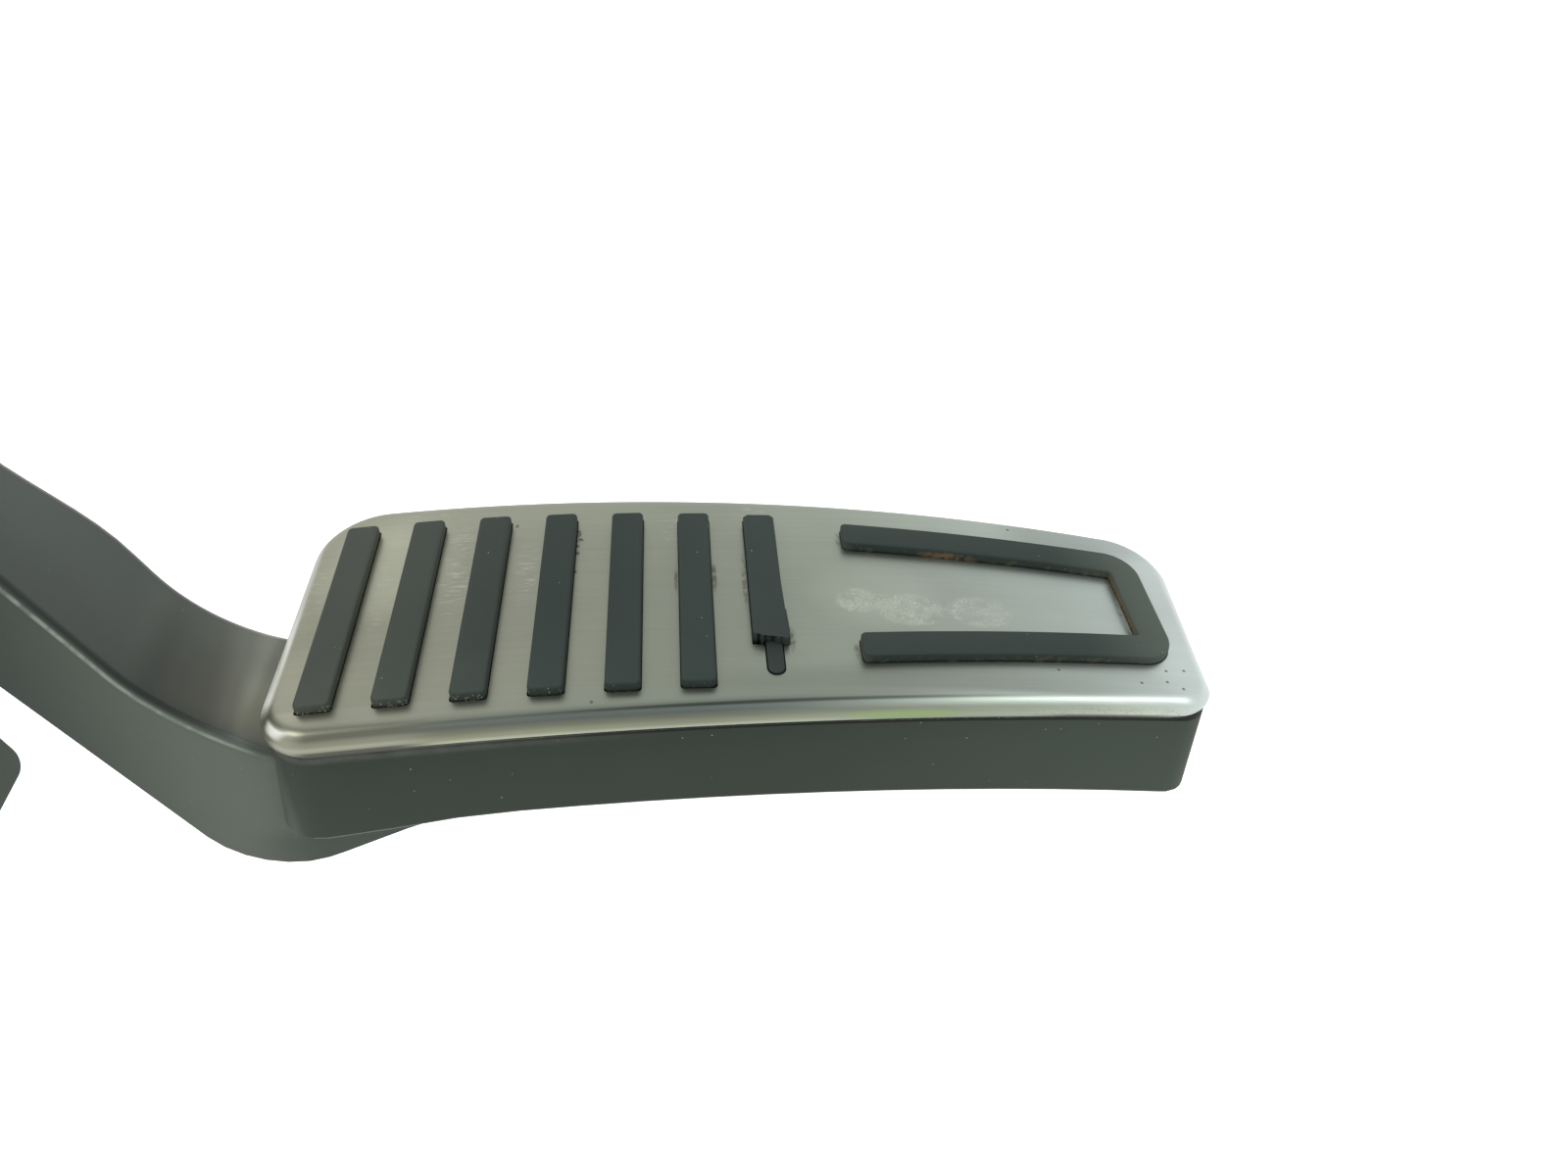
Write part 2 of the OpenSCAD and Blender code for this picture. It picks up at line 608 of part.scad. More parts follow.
module bush(y) {
    at_pivot() difference() {
        rod_across(bush_r, y, y + bush_len);
        rod_across(shaft_r + run_gap, y - 1, y + bush_len + 1);
    }
}
module shaft_bush_near() color([0.7, 0.55, 0.3]) bush(-inner_y - bush_len);
module shaft_bush_far() color([0.7, 0.55, 0.3]) bush(inner_y);

// The housing's side outline and the hollow inside it
seat_x = pivot_x + horn_tip.x;
chamber_x = back_t + 18;
shelf_z = horn_tip.y - horn_tip_r - stop_gap - 6;
skin_x = housing_depth;
side_outline = rounded([
    [0, chamber_h + wall, 3], [chamber_x + wall, chamber_h + wall, 5], [chamber_x + wall + 1, hub_r + 8, 4],
    [pivot_x + 8, hub_r + 5, 9], [skin_x, 6, 8], [skin_x, -26, 4],
    [pivot_x - 4, -48, 8], [foot_t, -72, 3], [foot_t, -76], [0, -76]]);
hollow_outline = rounded([
    [chamber_x, chamber_h, 2], [back_t, chamber_h, 2], [back_t, shelf_z, 1],
    [back_t + 15, shelf_z, 1], [back_t + 15, shelf_z - 3, 1], [back_t, shelf_z - 3, 1], [back_t, -45, 4],
    [foot_t, -60, 4], [foot_t, -90], [skin_x + 30, -90], [skin_x - wall, -26, 1],
    [skin_x - wall, 5, 6], [pivot_x + 7, hub_r + 2, 7],
    [chamber_x, hub_r + 2, 0.5]]);
lug_spots = [[chamber_x + wall + 3, chamber_h - 3], [chamber_x + wall + 3.5, hub_r + 10],
    [skin_x + 1.5, -4], [foot_t + 4.3, -66]];
side_lug_r = 4;
sensor_lugs = [for (a = [-20, -90, 200]) turned(sensor_r + 5.6, a)];
ring_y = outer_y + ring_h;

module bolt_spots() {
    for (s = [[-bolt_side, bolt_high], [-bolt_side, -bolt_low], [bolt_side, -bolt_low]])
        translate([0, s[0], s[1]]) rotate([0, 90, 0]) children();
}
sleeve_r = bolt_r + sleeve_wall;
bolt_boss_r = sleeve_r + 3.2;
// The wide foot ends this far below the pivot
foot_top = 60;
module housing() color([0.22, 0.24, 0.23]) difference() {
    union() {
        difference() {
            across(-inner_y, outer_y) polygon(side_outline);
            across(-inner_y - 1, inner_y) polygon(hollow_outline);
        }
        for (s = lug_spots) rod_across(side_lug_r, -inner_y, outer_y, s.x, s.y);
        translate([0, -foot_w / 2, -foot_drop + foot_corner_r])
            cube([foot_t, foot_w, foot_drop - foot_corner_r - foot_top]);
        translate([0, -foot_w / 2 + foot_corner_r, -foot_drop])
            cube([foot_t, foot_w - 2 * foot_corner_r, foot_corner_r + 1]);
        for (y = [-1, 1])
            rod_ahead(foot_corner_r, 0, foot_t,
                      y * (foot_w / 2 - foot_corner_r), -foot_drop + foot_corner_r);
        rod_ahead(peg_r, -peg_len, 1, 0, -foot_drop + 9);
        bolt_spots() cylinder(r = bolt_boss_r, h = boss_t - 0.5);
        for (s = [[-1, bolt_high], [-1, -bolt_low], [1, -bolt_low]]) {
            y = s[0] > 0 ? outer_y - 1 : -bolt_side;
            translate([0, y, s[1] - bolt_boss_r])
                cube([back_t, bolt_side - (s[0] > 0 ? outer_y - 1 : inner_y - 1), 2 * bolt_boss_r]);
        }
        at_pivot() rod_across(sensor_r + wall, outer_y - 1, ring_y);
        at_pivot() for (s = sensor_lugs) rod_across(3.6, outer_y - 1, ring_y, s.x, s.y);
        translate([seat_x, 0, chamber_h - 6]) cylinder(r = inner_coil_r - inner_wire_r - slide_gap, h = 7);
    }
    at_pivot() difference() {
        rod_across(sensor_r, outer_y, ring_y + 1);
        rod_across(boss_r, outer_y - 1, outer_y + 3);
    }
    at_pivot() rod_across(bush_r + 0.02, 0, outer_y + 3 + 1);
    bolt_spots() translate([0, 0, -1]) cylinder(r = sleeve_r + seat_gap, h = boss_t + 1);
    for (s = lug_spots) rod_across(screw_r, -inner_y - 1, -inner_y + screw_len, s.x, s.y);
    at_pivot() for (s = sensor_lugs) rod_across(screw_r - 0.25, ring_y - 5.5, ring_y + 1, s.x, s.y);
    translate([seat_x, 0, shelf_z - 4]) cylinder(r = stop_r - 2.5, h = 5);
    rod_ahead(stop_r - 2.5, foot_t - 4, foot_t + 1, 0, stop_z);
}

module side_cover() color([0.23, 0.25, 0.24]) difference() {
    union() {
        intersection() {
            across(-outer_y, -inner_y - 0.02) polygon(side_outline);
            translate([back_t + 0.3, -50, -76]) cube([100, 100, 200]);
        }
        for (s = lug_spots) rod_across(side_lug_r, -outer_y, -inner_y - 0.02, s.x, s.y);
        at_pivot() rod_across(boss_r, -outer_y - 5, -outer_y + 1);
        for (a = [0 : 45 : 315]) at_pivot() rotate([0, a, 0])
            translate([boss_r - 1, -outer_y - 1.2, -rib_t / 2]) cube([4, 1.4, rib_t]);
    }
    translate([0, -50, -foot_drop]) cube([foot_t + 0.3, 100, foot_drop - foot_top + 0.3]);
    at_pivot() rod_across(bush_r + 0.02, -inner_y - bush_len, 0);
    for (s = lug_spots) rod_across(screw_r + 0.3, -outer_y - 1, 0, s.x, s.y);
}
module side_cover_screws() color([0.6, 0.6, 0.58]) for (s = lug_spots) {
    rod_across(3.3, -outer_y - 2.2, -outer_y - seat_gap, s.x, s.y);
    rod_across(screw_r - seat_gap, -outer_y - 1, -inner_y + screw_len - 1, s.x, s.y);
}

module bolt_sleeves() color([0.7, 0.7, 0.68]) bolt_spots() difference() {
    cylinder(r = sleeve_r, h = boss_t);
    translate([0, 0, -1]) cylinder(r = bolt_r, h = boss_t + 2);
}

module idle_stop() color([0.1, 0.1, 0.1]) translate([seat_x, 0, shelf_z]) {
    translate([0, 0, 0.02]) cylinder(r = stop_r, h = 5);
    translate([0, 0, 5]) cylinder(r1 = stop_r, r2 = stop_r - 1, h = 1);
    translate([0, 0, -3.8]) cylinder(r = stop_r - 2.5 - seat_gap, h = 4);
}
// Where the arm's back reaches at full travel, at the stop's lower edge
function swung(p, a) = [p.x * cos(a) + p.y * sin(a), -p.x * sin(a) + p.y * cos(a)];
back_low = swung([-arm_back + heel_drop * tan(back_lean), -heel_drop], pedal_travel);
back_high = swung([-arm_back, 0], pedal_travel);
meet_x = pivot_x + back_low.x
    + (back_high.x - back_low.x) * (stop_z - stop_r - back_low.y) / (back_high.y - back_low.y) - stop_gap;
module full_travel_stop() color([0.1, 0.1, 0.1]) {
    rod_ahead(stop_r, foot_t + 0.02, meet_x - 0.6, 0, stop_z);
    rod_ahead(stop_r - 0.7, meet_x - 1, meet_x, 0, stop_z);
    rod_ahead(stop_r - 2.5 - seat_gap, foot_t - 3.8, foot_t + 1, 0, stop_z);
}

// The seat slides up the chamber as the horn lifts it
seat_z = horn_tip.y + horn_tip_r + stop_gap;
seat_half_x = min(seat_x - back_t, chamber_x - seat_x) - slide_gap;
spring_z = seat_z + seat_foot + seat_t;
seat_pin = 7;
seat_rail = 1.6;
// The horn's tip bears on this block; the root passes clear of its end
shoe_back = 4.5;
shoe_len = 8;
module spring_seat() color([0.75, 0.74, 0.7]) translate([seat_x, 0, seat_z]) {
    translate([-seat_half_x, -inner_y + slide_gap, seat_foot])
        cube([2 * seat_half_x, 2 * (inner_y - slide_gap), seat_t]);
    translate([-shoe_back, -horn_w / 2, 0]) cube([shoe_len, horn_w, seat_foot + 0.5]);
    cylinder(r = inner_coil_r - inner_wire_r - slide_gap, h = seat_foot + seat_t + seat_pin);
    for (y = [-1, 1])
        translate([-seat_half_x, y * (inner_y - slide_gap - seat_rail / 2) - seat_rail / 2, seat_foot])
            cube([2 * seat_half_x, seat_rail, seat_t + seat_pin]);
}

// Coil springs with closed end turns
ring_steps = 14;
module coil(wire_r, coil_r, turns, height, sides) {
    steps = turns * ring_steps;
    closed = 1.2 * wire_r * 2 / height;
    pts = [for (i = [0 : steps])
        let (t = i / steps, a = 360 * turns * t, s = min(t * turns, (1 - t) * turns, 1))
        let (lift = t < 0.5 ? closed * s : 1 - closed * s)
        let (mid = (t * turns - 1) / (turns - 2))
        let (z = wire_r + (height - 2 * wire_r) * (s < 1 ? lift : closed + (1 - 2 * closed) * mid))
        for (k = [0 : sides - 1])
            let (q = turned(wire_r, 360 * k / sides))
            [(coil_r + q.x) * cos(a), (coil_r + q.x) * sin(a), z + q.y]];
    walls = [for (i = [0 : steps - 1]) for (k = [0 : sides - 1])
        let (a = sides * i + k, b = sides * i + (k + 1) % sides)
        each [[a, b + sides, b], [a, a + sides, b + sides]]];
    start = [[for (k = [0 : sides - 1]) k]];
    end = [[for (k = [sides - 1 : -1 : 0]) sides * steps + k]];
    polyhedron(points = pts, faces = concat(start, walls, end));
}
module return_spring_outer() color([0.5, 0.5, 0.5]) translate([seat_x, 0, spring_z + 0.02])
    coil(outer_wire_r, outer_coil_r, outer_turns, chamber_h - spring_z - 0.04, 8);
module return_spring_inner() color([0.55, 0.55, 0.55]) translate([seat_x, 0, spring_z + 0.02])
    coil(inner_wire_r, inner_coil_r, inner_turns, chamber_h - spring_z - 0.04, 6);

// Sensor chamber, its cover and the connector on top of it
cover_y = ring_y + seal_t;
back_y = cover_y + sensor_cover_h;
web_z = sensor_r + wall + 1;
web_t = 4;
mouth_y = back_y - wall + 0.8 - mouth_d;
board_y = carrier_y + 4.2 + 2.4;
blade_y = board_y + board_t + 0.02;
module sensor_seal() color([0.12, 0.12, 0.13]) at_pivot() difference() {
    rod_across(sensor_r + wall - 0.3, ring_y + 0.02, cover_y - 0.02);
    rod_across(sensor_r + 0.4, ring_y - 1, cover_y + 1);
}
module sensor_cover() color([0.21, 0.22, 0.22]) at_pivot() difference() {
    union() {
        rod_across(sensor_r + wall, cover_y, back_y);
        for (s = sensor_lugs) rod_across(3.6, cover_y, cover_y + 3, s.x, s.y);
        translate([-mouth_w / 2 - wall + 0.8, mouth_y - wall + 0.8, 0])
            cube([mouth_w + 2 * wall - 1.6, mouth_d + 2 * wall - 1.6, web_z + web_t + mouth_h]);
        translate([-5, back_y - 1, web_z + web_t + 4]) cube([10, 2.4, mouth_h - 8]);
    }
    rod_across(sensor_r, cover_y - 20, back_y - wall);
    translate([-mouth_w / 2, mouth_y, web_z + web_t]) cube([mouth_w, mouth_d, mouth_h + 1]);
    translate([-mouth_w / 2, board_y - 3, 0]) cube([mouth_w, back_y - wall - board_y + 3, web_z]);
    for (s = sensor_lugs) rod_across(screw_r, cover_y - 1, cover_y + 4, s.x, s.y);
    terminal_spots() translate([-1.1, blade_y - seat_gap, -1]) cube([2.2, 0.8 + 2 * seat_gap, web_z + 9]);
}
module sensor_cover_screws() color([0.6, 0.6, 0.58]) at_pivot() for (s = sensor_lugs) {
    rod_across(2.9, cover_y + 3 + seat_gap, cover_y + 5, s.x, s.y);
    rod_across(screw_r - 0.25 - seat_gap, ring_y - 5, cover_y + 4, s.x, s.y);
}
module terminal_spots() {
    for (i = [0 : terminals - 1]) translate([(i - (terminals - 1) / 2) * 3.2, 0, 0]) children();
}
// The two chips on the board: along the board, across it and up, with how far each stands out
hall_chip = [5, 1.4, 4];
driver_chip = [6, 1.2, 5];
module sensor_board() color([0.1, 0.32, 0.2]) at_pivot() {
    intersection() {
        across(board_y, board_y + board_t) union() {
            circle(r = sensor_r - 0.5);
            translate([-mouth_w / 2 + 0.5, 0]) square([mouth_w - 1, web_z - 0.5]);
        }
        rod_across(60, 0, 60);
    }
    translate([-hall_chip.x / 2, board_y - hall_chip.y, -hall_chip.z / 2])
        cube(hall_chip + [0, 0.1, 0]);
    translate([5, board_y - driver_chip.y, 6]) cube(driver_chip + [0, 0.1, 0]);
}
module connector_terminals() color([0.8, 0.72, 0.5]) at_pivot()
    terminal_spots() translate([-1, blade_y, web_z - 7]) cube([2, 0.8, 7 + web_t + mouth_h - 6]);

pad_cover();
pad_rubber();
pad_carrier();
carrier_screws();
pedal_arm();
pivot_shaft();
magnet_carrier();
ring_magnet();
housing();
side_cover();
side_cover_screws();
shaft_bush_near();
shaft_bush_far();
bolt_sleeves();
idle_stop();
full_travel_stop();
spring_seat();
return_spring_outer();
return_spring_inner();
sensor_cover();
sensor_cover_screws();
sensor_seal();
sensor_board();
connector_terminals();
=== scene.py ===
import math

import bmesh
import bpy
from mathutils import Matrix, Vector


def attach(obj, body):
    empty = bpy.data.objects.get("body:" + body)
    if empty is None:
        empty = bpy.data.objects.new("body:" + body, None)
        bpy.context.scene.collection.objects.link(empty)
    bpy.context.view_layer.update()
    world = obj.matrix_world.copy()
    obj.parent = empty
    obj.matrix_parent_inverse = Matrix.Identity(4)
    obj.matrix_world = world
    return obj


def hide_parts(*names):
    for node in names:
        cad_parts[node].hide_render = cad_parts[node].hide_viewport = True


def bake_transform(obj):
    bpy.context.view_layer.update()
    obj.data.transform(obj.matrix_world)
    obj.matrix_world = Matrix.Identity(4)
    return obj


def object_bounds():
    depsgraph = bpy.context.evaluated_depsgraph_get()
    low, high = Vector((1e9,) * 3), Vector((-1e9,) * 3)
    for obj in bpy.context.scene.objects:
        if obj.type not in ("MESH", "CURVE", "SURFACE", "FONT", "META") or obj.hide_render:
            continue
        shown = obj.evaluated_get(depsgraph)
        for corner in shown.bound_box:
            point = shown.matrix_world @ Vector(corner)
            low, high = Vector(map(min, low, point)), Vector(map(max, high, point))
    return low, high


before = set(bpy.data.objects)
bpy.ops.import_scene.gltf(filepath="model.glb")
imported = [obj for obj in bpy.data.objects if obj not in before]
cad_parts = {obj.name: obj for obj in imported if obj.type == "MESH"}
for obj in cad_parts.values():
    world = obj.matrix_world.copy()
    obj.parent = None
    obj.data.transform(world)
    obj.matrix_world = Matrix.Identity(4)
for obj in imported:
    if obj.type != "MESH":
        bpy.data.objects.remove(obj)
cadBox = [list(corner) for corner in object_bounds()]
mm = 0.001
print("frame loaded:", len(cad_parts), "nodes")

# node wiring


class Wire:
    # one output of a node; sums and products on it add Math nodes
    def __init__(self, graph, socket):
        self.graph = graph
        self.socket = socket

    def maths(self, operation, *values):
        return self.graph.add("ShaderNodeMath", {"operation": operation}, dict(enumerate(values)))

    def __add__(self, other):
        return self.maths("ADD", self, other)

    def __sub__(self, other):
        return self.maths("SUBTRACT", self, other)

    def __rsub__(self, other):
        return self.maths("SUBTRACT", other, self)

    def __mul__(self, other):
        return self.maths("MULTIPLY", self, other)

    def __truediv__(self, other):
        return self.maths("DIVIDE", self, other)

    def __pow__(self, other):
        return self.maths("POWER", self, other)

    __radd__ = __add__
    __rmul__ = __mul__

    def inside(self, low, high):  # 0 below low, 1 above high, eased between; falls if low is above high
        rising = low < high
        ends = {"Value": self, "From Min": min(low, high), "From Max": max(low, high),
                "To Min": 0.0 if rising else 1.0, "To Max": 1.0 if rising else 0.0}
        return self.graph.add("ShaderNodeMapRange", {"interpolation_type": "SMOOTHSTEP"}, ends)

    def clipped(self):
        return self.graph.add("ShaderNodeMath", {"operation": "ADD", "use_clamp": True}, {0: self, 1: 0.0})


class Graph:
    def __init__(self, tree):
        self.tree = tree

    def pick(self, sockets, key):
        if isinstance(key, int):
            return sockets[key]
        return next(s for s in sockets if s.name == key and s.enabled)

    def add(self, kind, settings=None, inputs=None, out=0):
        node = self.tree.nodes.new(kind)
        for name, value in (settings or {}).items():
            if name == "stops":  # [(place, colour), ...] of a ramp
                ramp = node.color_ramp.elements
                while len(ramp) < len(value):
                    ramp.new(0.5)
                for stop, (place, colour) in zip(ramp, value):
                    stop.position = place
                    stop.color = (*colour, 1)
            else:
                setattr(node, name, value)
        for key, value in (inputs or {}).items():
            socket = self.pick(node.inputs, key)
            if isinstance(value, Wire):
                self.tree.links.new(value.socket, socket)
            else:
                socket.default_value = value
        return Wire(self, self.pick(node.outputs, out)) if node.outputs else None

    def vector(self, x, y, z):
        return self.add("ShaderNodeCombineXYZ", None, {0: x, 1: y, 2: z})

    def parts(self, vector):
        split = self.add("ShaderNodeSeparateXYZ", None, {0: vector})
        return [Wire(self, split.socket.node.outputs[i]) for i in range(3)]

    def noise(self, vector, scale, detail=3.0, roughness=0.55, distortion=0.0):
        return self.add("ShaderNodeTexNoise", None, {"Vector": vector, "Scale": scale, "Detail": detail,
                        "Roughness": roughness, "Distortion": distortion}, "Fac")

    def dots(self, vector, scale, size):  # 1 in the middle of scattered round specks
        cells = self.add("ShaderNodeTexVoronoi", None, {"Vector": vector, "Scale": scale}, "Distance")
        return cells.inside(size, size * 0.6)

    def mix(self, amount, first, second, blend="MIX"):
        colour = [v if isinstance(v, Wire) else (*v, 1) for v in (first, second)]
        return self.add("ShaderNodeMix", {"data_type": "RGBA", "blend_type": blend, "clamp_factor": True},
                        {"Factor": amount, "A": colour[0], "B": colour[1]}, "Result")

    def ramp(self, value, stops):
        return self.add("ShaderNodeValToRGB", {"stops": stops}, {0: value}, "Color")

    def scale(self, value, *points):  # a number that follows (place, amount) pairs
        result = points[0][1]
        for (low, before), (high, after) in zip(points, points[1:]):
            result = value.inside(low, high) * (after - before) + result
        return result

    def toned(self, shade, tone):
        return self.mix(1.0, shade, self.vector(tone, tone, tone), "MULTIPLY")

    def layered(self, shade, *layers):  # lays (amount, colour) pairs over a shade, one after the other
        for amount, colour in layers:
            shade = self.mix(amount, shade, colour)
        return shade

    def marks(self, x, y, spots, soft):  # the sum of oval marks
        total = None
        for spot in spots:
            mark = blot(self, x, y, *spot, soft=soft)
            total = mark if total is None else total + mark
        return total

    def bump(self, height, strength, distance=0.00012):
        ends = {"Height": height, "Strength": strength, "Distance": distance}
        return self.add("ShaderNodeBump", None, ends, "Normal")


def newMaterial(name, recipe):
    # recipe(graph, place) gives the Principled shader's sockets; place is in metres, in the shared frame
    material = bpy.data.materials.new(name)
    material.use_nodes = True
    material.node_tree.nodes.clear()
    graph = Graph(material.node_tree)
    place = graph.add("ShaderNodeTexCoord", None, None, "Object")
    shader = graph.add("ShaderNodeBsdfPrincipled", None, recipe(graph, place), "BSDF")
    graph.add("ShaderNodeOutputMaterial", None, {"Surface": shader})
    return material


# the pad's place and outline, in millimetres

pad = {
    "origin": (0.111, 0.010, -0.125),  # the fifth bar's middle, on the bars' tops
    "tilt": 18.0,
    "armEnd": 47.6,
    "armSlant": 0.2,
    "toeEnd": 84.8,
    "toeSlant": 0.8,
    "halfWidth": 23.6,
    "taper": 0.03,
    "bowRadius": 1360.0,
    "crownRadius": 435.0,
    "corners": {"nearArm": 8.0, "farArm": 10.3, "nearToe": 6.0, "farToe": 9.5},
    "plateDepth": 1.6,
    "coverThickness": 0.8,
    "rimRadius": 2.5,
    "rimHeight": 3.2,
    "slotGap": 0.12,
    "toeLift": 1.3,  # how far the rim's lower edge rises at the near toe corner
    "leastRadius": 0.6,
    "sideSteps": 70,
    "cornerSteps": 12,
}
padMatrix = Matrix.Translation(pad["origin"]) @ Matrix.Rotation(math.radians(pad["tilt"]), 4, "Y")


def crown(x):
    return -x * x / (2 * pad["crownRadius"])


def halfWidth(x):
    return pad["halfWidth"] - pad["taper"] * x - x * x / (2 * pad["bowRadius"])


def onPad(x, y, depth):  # depth is measured down from the bars' tops
    return padMatrix @ (Vector((x, y, crown(x) - depth)) * mm)


def padChain(inset, side):
    # one half of the pad's outline, from the arm's end to the toe; side is 1 for the far half
    armCorner, toeCorner = ("farArm", "farToe") if side > 0 else ("nearArm", "nearToe")
    armRadius = max(pad["corners"][armCorner] - inset, pad["leastRadius"])
    toeRadius = max(pad["corners"][toeCorner] - inset, pad["leastRadius"])
    first = side * pad["armSlant"] - pad["armEnd"] + inset + armRadius
    last = side * pad["toeSlant"] + pad["toeEnd"] - inset - toeRadius

    def corner(x, radius, start):
        y = halfWidth(x) - inset - radius
        turns = [math.radians(start - 90 * i / pad["cornerSteps"]) for i in range(pad["cornerSteps"] + 1)]
        return [(x + radius * math.cos(a), side * (y + radius * math.sin(a))) for a in turns]

    straight = [first + (last - first) * i / pad["sideSteps"] for i in range(1, pad["sideSteps"])]
    straight = [(x, side * (halfWidth(x) - inset)) for x in straight]
    return corner(first, armRadius, 180) + straight + corner(last, toeRadius, 90)


# mesh helpers


def meshObject(name, bm, material=None):
    mesh = bpy.data.meshes.new(name)
    bm.to_mesh(mesh)
    bm.free()
    thing = bpy.data.objects.new(name, mesh)
    bpy.context.scene.collection.objects.link(thing)
    if material:
        mesh.materials.append(material)
    return thing


def settle(thing, angle, material):
    # turns the modifiers' result into a plain mesh, smooth except along sharp edges
    graph = bpy.context.evaluated_depsgraph_get()
    result = thing.evaluated_get(graph)
    mesh = bpy.data.meshes.new_from_object(result, preserve_all_data_layers=True, depsgraph=graph)
    thing.modifiers.clear()
    thing.data = mesh
    mesh.name = thing.name
    for face in mesh.polygons:
        face.use_smooth = True
        face.material_index = 0
    mesh.set_sharp_from_angle(angle=math.radians(angle))
    mesh.materials.clear()
    mesh.materials.append(material)
    return thing


def cutAway(thing, cutters, angle, material):
    for cutter in cutters:
        cut = thing.modifiers.new("cut", "BOOLEAN")
        cut.operation = "DIFFERENCE"
        cut.solver = "EXACT"
        cut.object = cutter
    settle(thing, angle, material)
    for cutter in cutters:
        bpy.data.objects.remove(cutter)


def softenEdges(thing, width, segments, angle):
    bevel = thing.modifiers.new("edges", "BEVEL")
    bevel.width = width * mm
    bevel.segments = segments
    bevel.limit_method = "ANGLE"
    bevel.angle_limit = math.radians(angle)
    bevel.use_clamp_overlap = True
    thing.modifiers.new("normals", "WEIGHTED_NORMAL").keep_sharp = True


def wall(bm, loops):
    # faces between each ring of points and the next
    for lower, upper in zip(loops, loops[1:]):
        for i in range(len(lower)):
            j = (i + 1) % len(lower)
            bm.faces.new((lower[i], lower[j], upper[j], upper[i]))


def strip(bm, loop):
    # fills a ring whose second half runs back beside its first
    for i in range(len(loop) // 2 - 1):
        bm.faces.new((loop[i], loop[i + 1], loop[-i - 2], loop[-i - 1]))


def finished(name, bm):
    bmesh.ops.recalc_face_normals(bm, faces=bm.faces)
    return meshObject(name, bm)


def capped(name, bm, loops, triangles=False):
    wall(bm, loops)
    caps = [bm.faces.new(loops[-1]), bm.faces.new(loops[0][::-1])]
    if triangles:
        bmesh.ops.triangulate(bm, faces=caps, ngon_method="EAR_CLIP")
    return finished(name, bm)


def padShell(name, rings):
    # a closed skin of the pad's plan, from the inset and depth of each ring
    bm = bmesh.new()
    loops = []
    for inset, depth in rings:
        near, far = [[bm.verts.new(onPad(x, y, depth)) for x, y in padChain(inset, side)] for side in (-1, 1)]
        loops.append(near + far[::-1])
    wall(bm, loops)
    strip(bm, loops[0])
    strip(bm, loops[-1])
    return finished(name, bm)


def insetOutline(points, distance, weights):
    # moves an anticlockwise outline inward, each point by its own share of the distance
    moved = []
    for i, (x, y) in enumerate(points):
        ax, ay = points[i - 1]
        bx, by = points[(i + 1) % len(points)]
        u = Vector((x - ax, y - ay)).normalized()
        v = Vector((bx - x, by - y)).normalized()
        normal = Vector((-u.y - v.y, u.x + v.x))
        if normal.length < 1e-6:
            moved.append((x, y))
            continue
        normal.normalize()
        reach = distance * weights[i] / max(0.45, normal.dot(Vector((-u.y, u.x))))
        moved.append((x + normal.x * reach, y + normal.y * reach))
    return moved


def flat(x, y, depth):
    return Vector((x, y, -depth)) * mm


def raised(bm, outline, bottom, top, rounding=0.0, weights=None, place=onPad, steps=4):
    # the rings of a raised form, its upper edge rounded
    turns = [math.pi / 2 * i / steps for i in range(steps + 1)] if rounding else [0.0]
    rings = [(rounding * (1 - math.cos(a)), top + rounding * (1 - math.sin(a))) for a in turns]
    weights = weights or [1.0] * len(outline)
    return [[bm.verts.new(place(x, y, depth)) for x, y in insetOutline(outline, inset, weights)]
            for inset, depth in [(0, bottom)] + rings]


def moulding(name, outline, bottom, top, rounding=0.0, weights=None):
    bm = bmesh.new()
    return capped(name, bm, raised(bm, outline, bottom, top, rounding, weights), True)


def ribbon(name, pairs, bottom, top, rounding=0.0):
    # a raised strip between two lines of points that run side by side
    outline = [outer for outer, inner in pairs] + [inner for outer, inner in reversed(pairs)]
    bm = bmesh.new()
    loops = raised(bm, outline, bottom, top, rounding)
    wall(bm, loops)
    strip(bm, loops[0])
    strip(bm, loops[-1])
    bmesh.ops.remove_doubles(bm, verts=bm.verts, dist=1e-8)
    return finished(name, bm)


def joined(name, things):
    bm = bmesh.new()
    for thing in things:
        bm.from_mesh(thing.data)
        bpy.data.objects.remove(thing)
    return meshObject(name, bm)


def newTree(name, sockets):
    # a Geometry Nodes tree with named inputs, its graph, and a wire for each input
    tree = bpy.data.node_groups.new(name, "GeometryNodeTree")
    for title, (kind, value) in sockets.items():
        socket = tree.interface.new_socket(title, in_out="INPUT", socket_type="NodeSocket" + kind)
        if value is not None:
            socket.default_value = value
    tree.interface.new_socket("Geometry", in_out="OUTPUT", socket_type="NodeSocketGeometry")
    graph = Graph(tree)
    given = graph.add("NodeGroupInput")
    return tree, graph, {title: Wire(graph, given.socket.node.outputs[title]) for title in sockets}


def grown(name, bm, tree, inputs, angle):
    # the mesh that the tree makes from the given points
    thing = meshObject(name, bm)
    row = thing.modifiers.new("row", "NODES")
    row.node_group = tree
    for item in tree.interface.items_tree:
        if item.in_out == "INPUT" and item.name in inputs:
            row[item.identifier] = inputs[item.name]
    return settle(thing, angle, inputs["Finish"])


# materials


def padPlace(graph, place):
    # millimetres along, across and above the pad; level follows the crown, 0 at the bars' tops
    local = graph.add("ShaderNodeMapping", {"vector_type": "TEXTURE"}, {
        "Vector": place, "Location": pad["origin"], "Rotation": (0, math.radians(pad["tilt"]), 0),
        "Scale": (mm, mm, mm)})
    x, y, z = graph.parts(local)
    return local, x, y, z + x * x / (2 * pad["crownRadius"])


def plainPlace(graph, place, stretch=(1.0, 1.0, 1.0)):  # millimetres along the frame's own axes
    scale = tuple(mm * s for s in stretch)
    return graph.add("ShaderNodeMapping", {"vector_type": "TEXTURE"}, {"Vector": place, "Scale": scale})


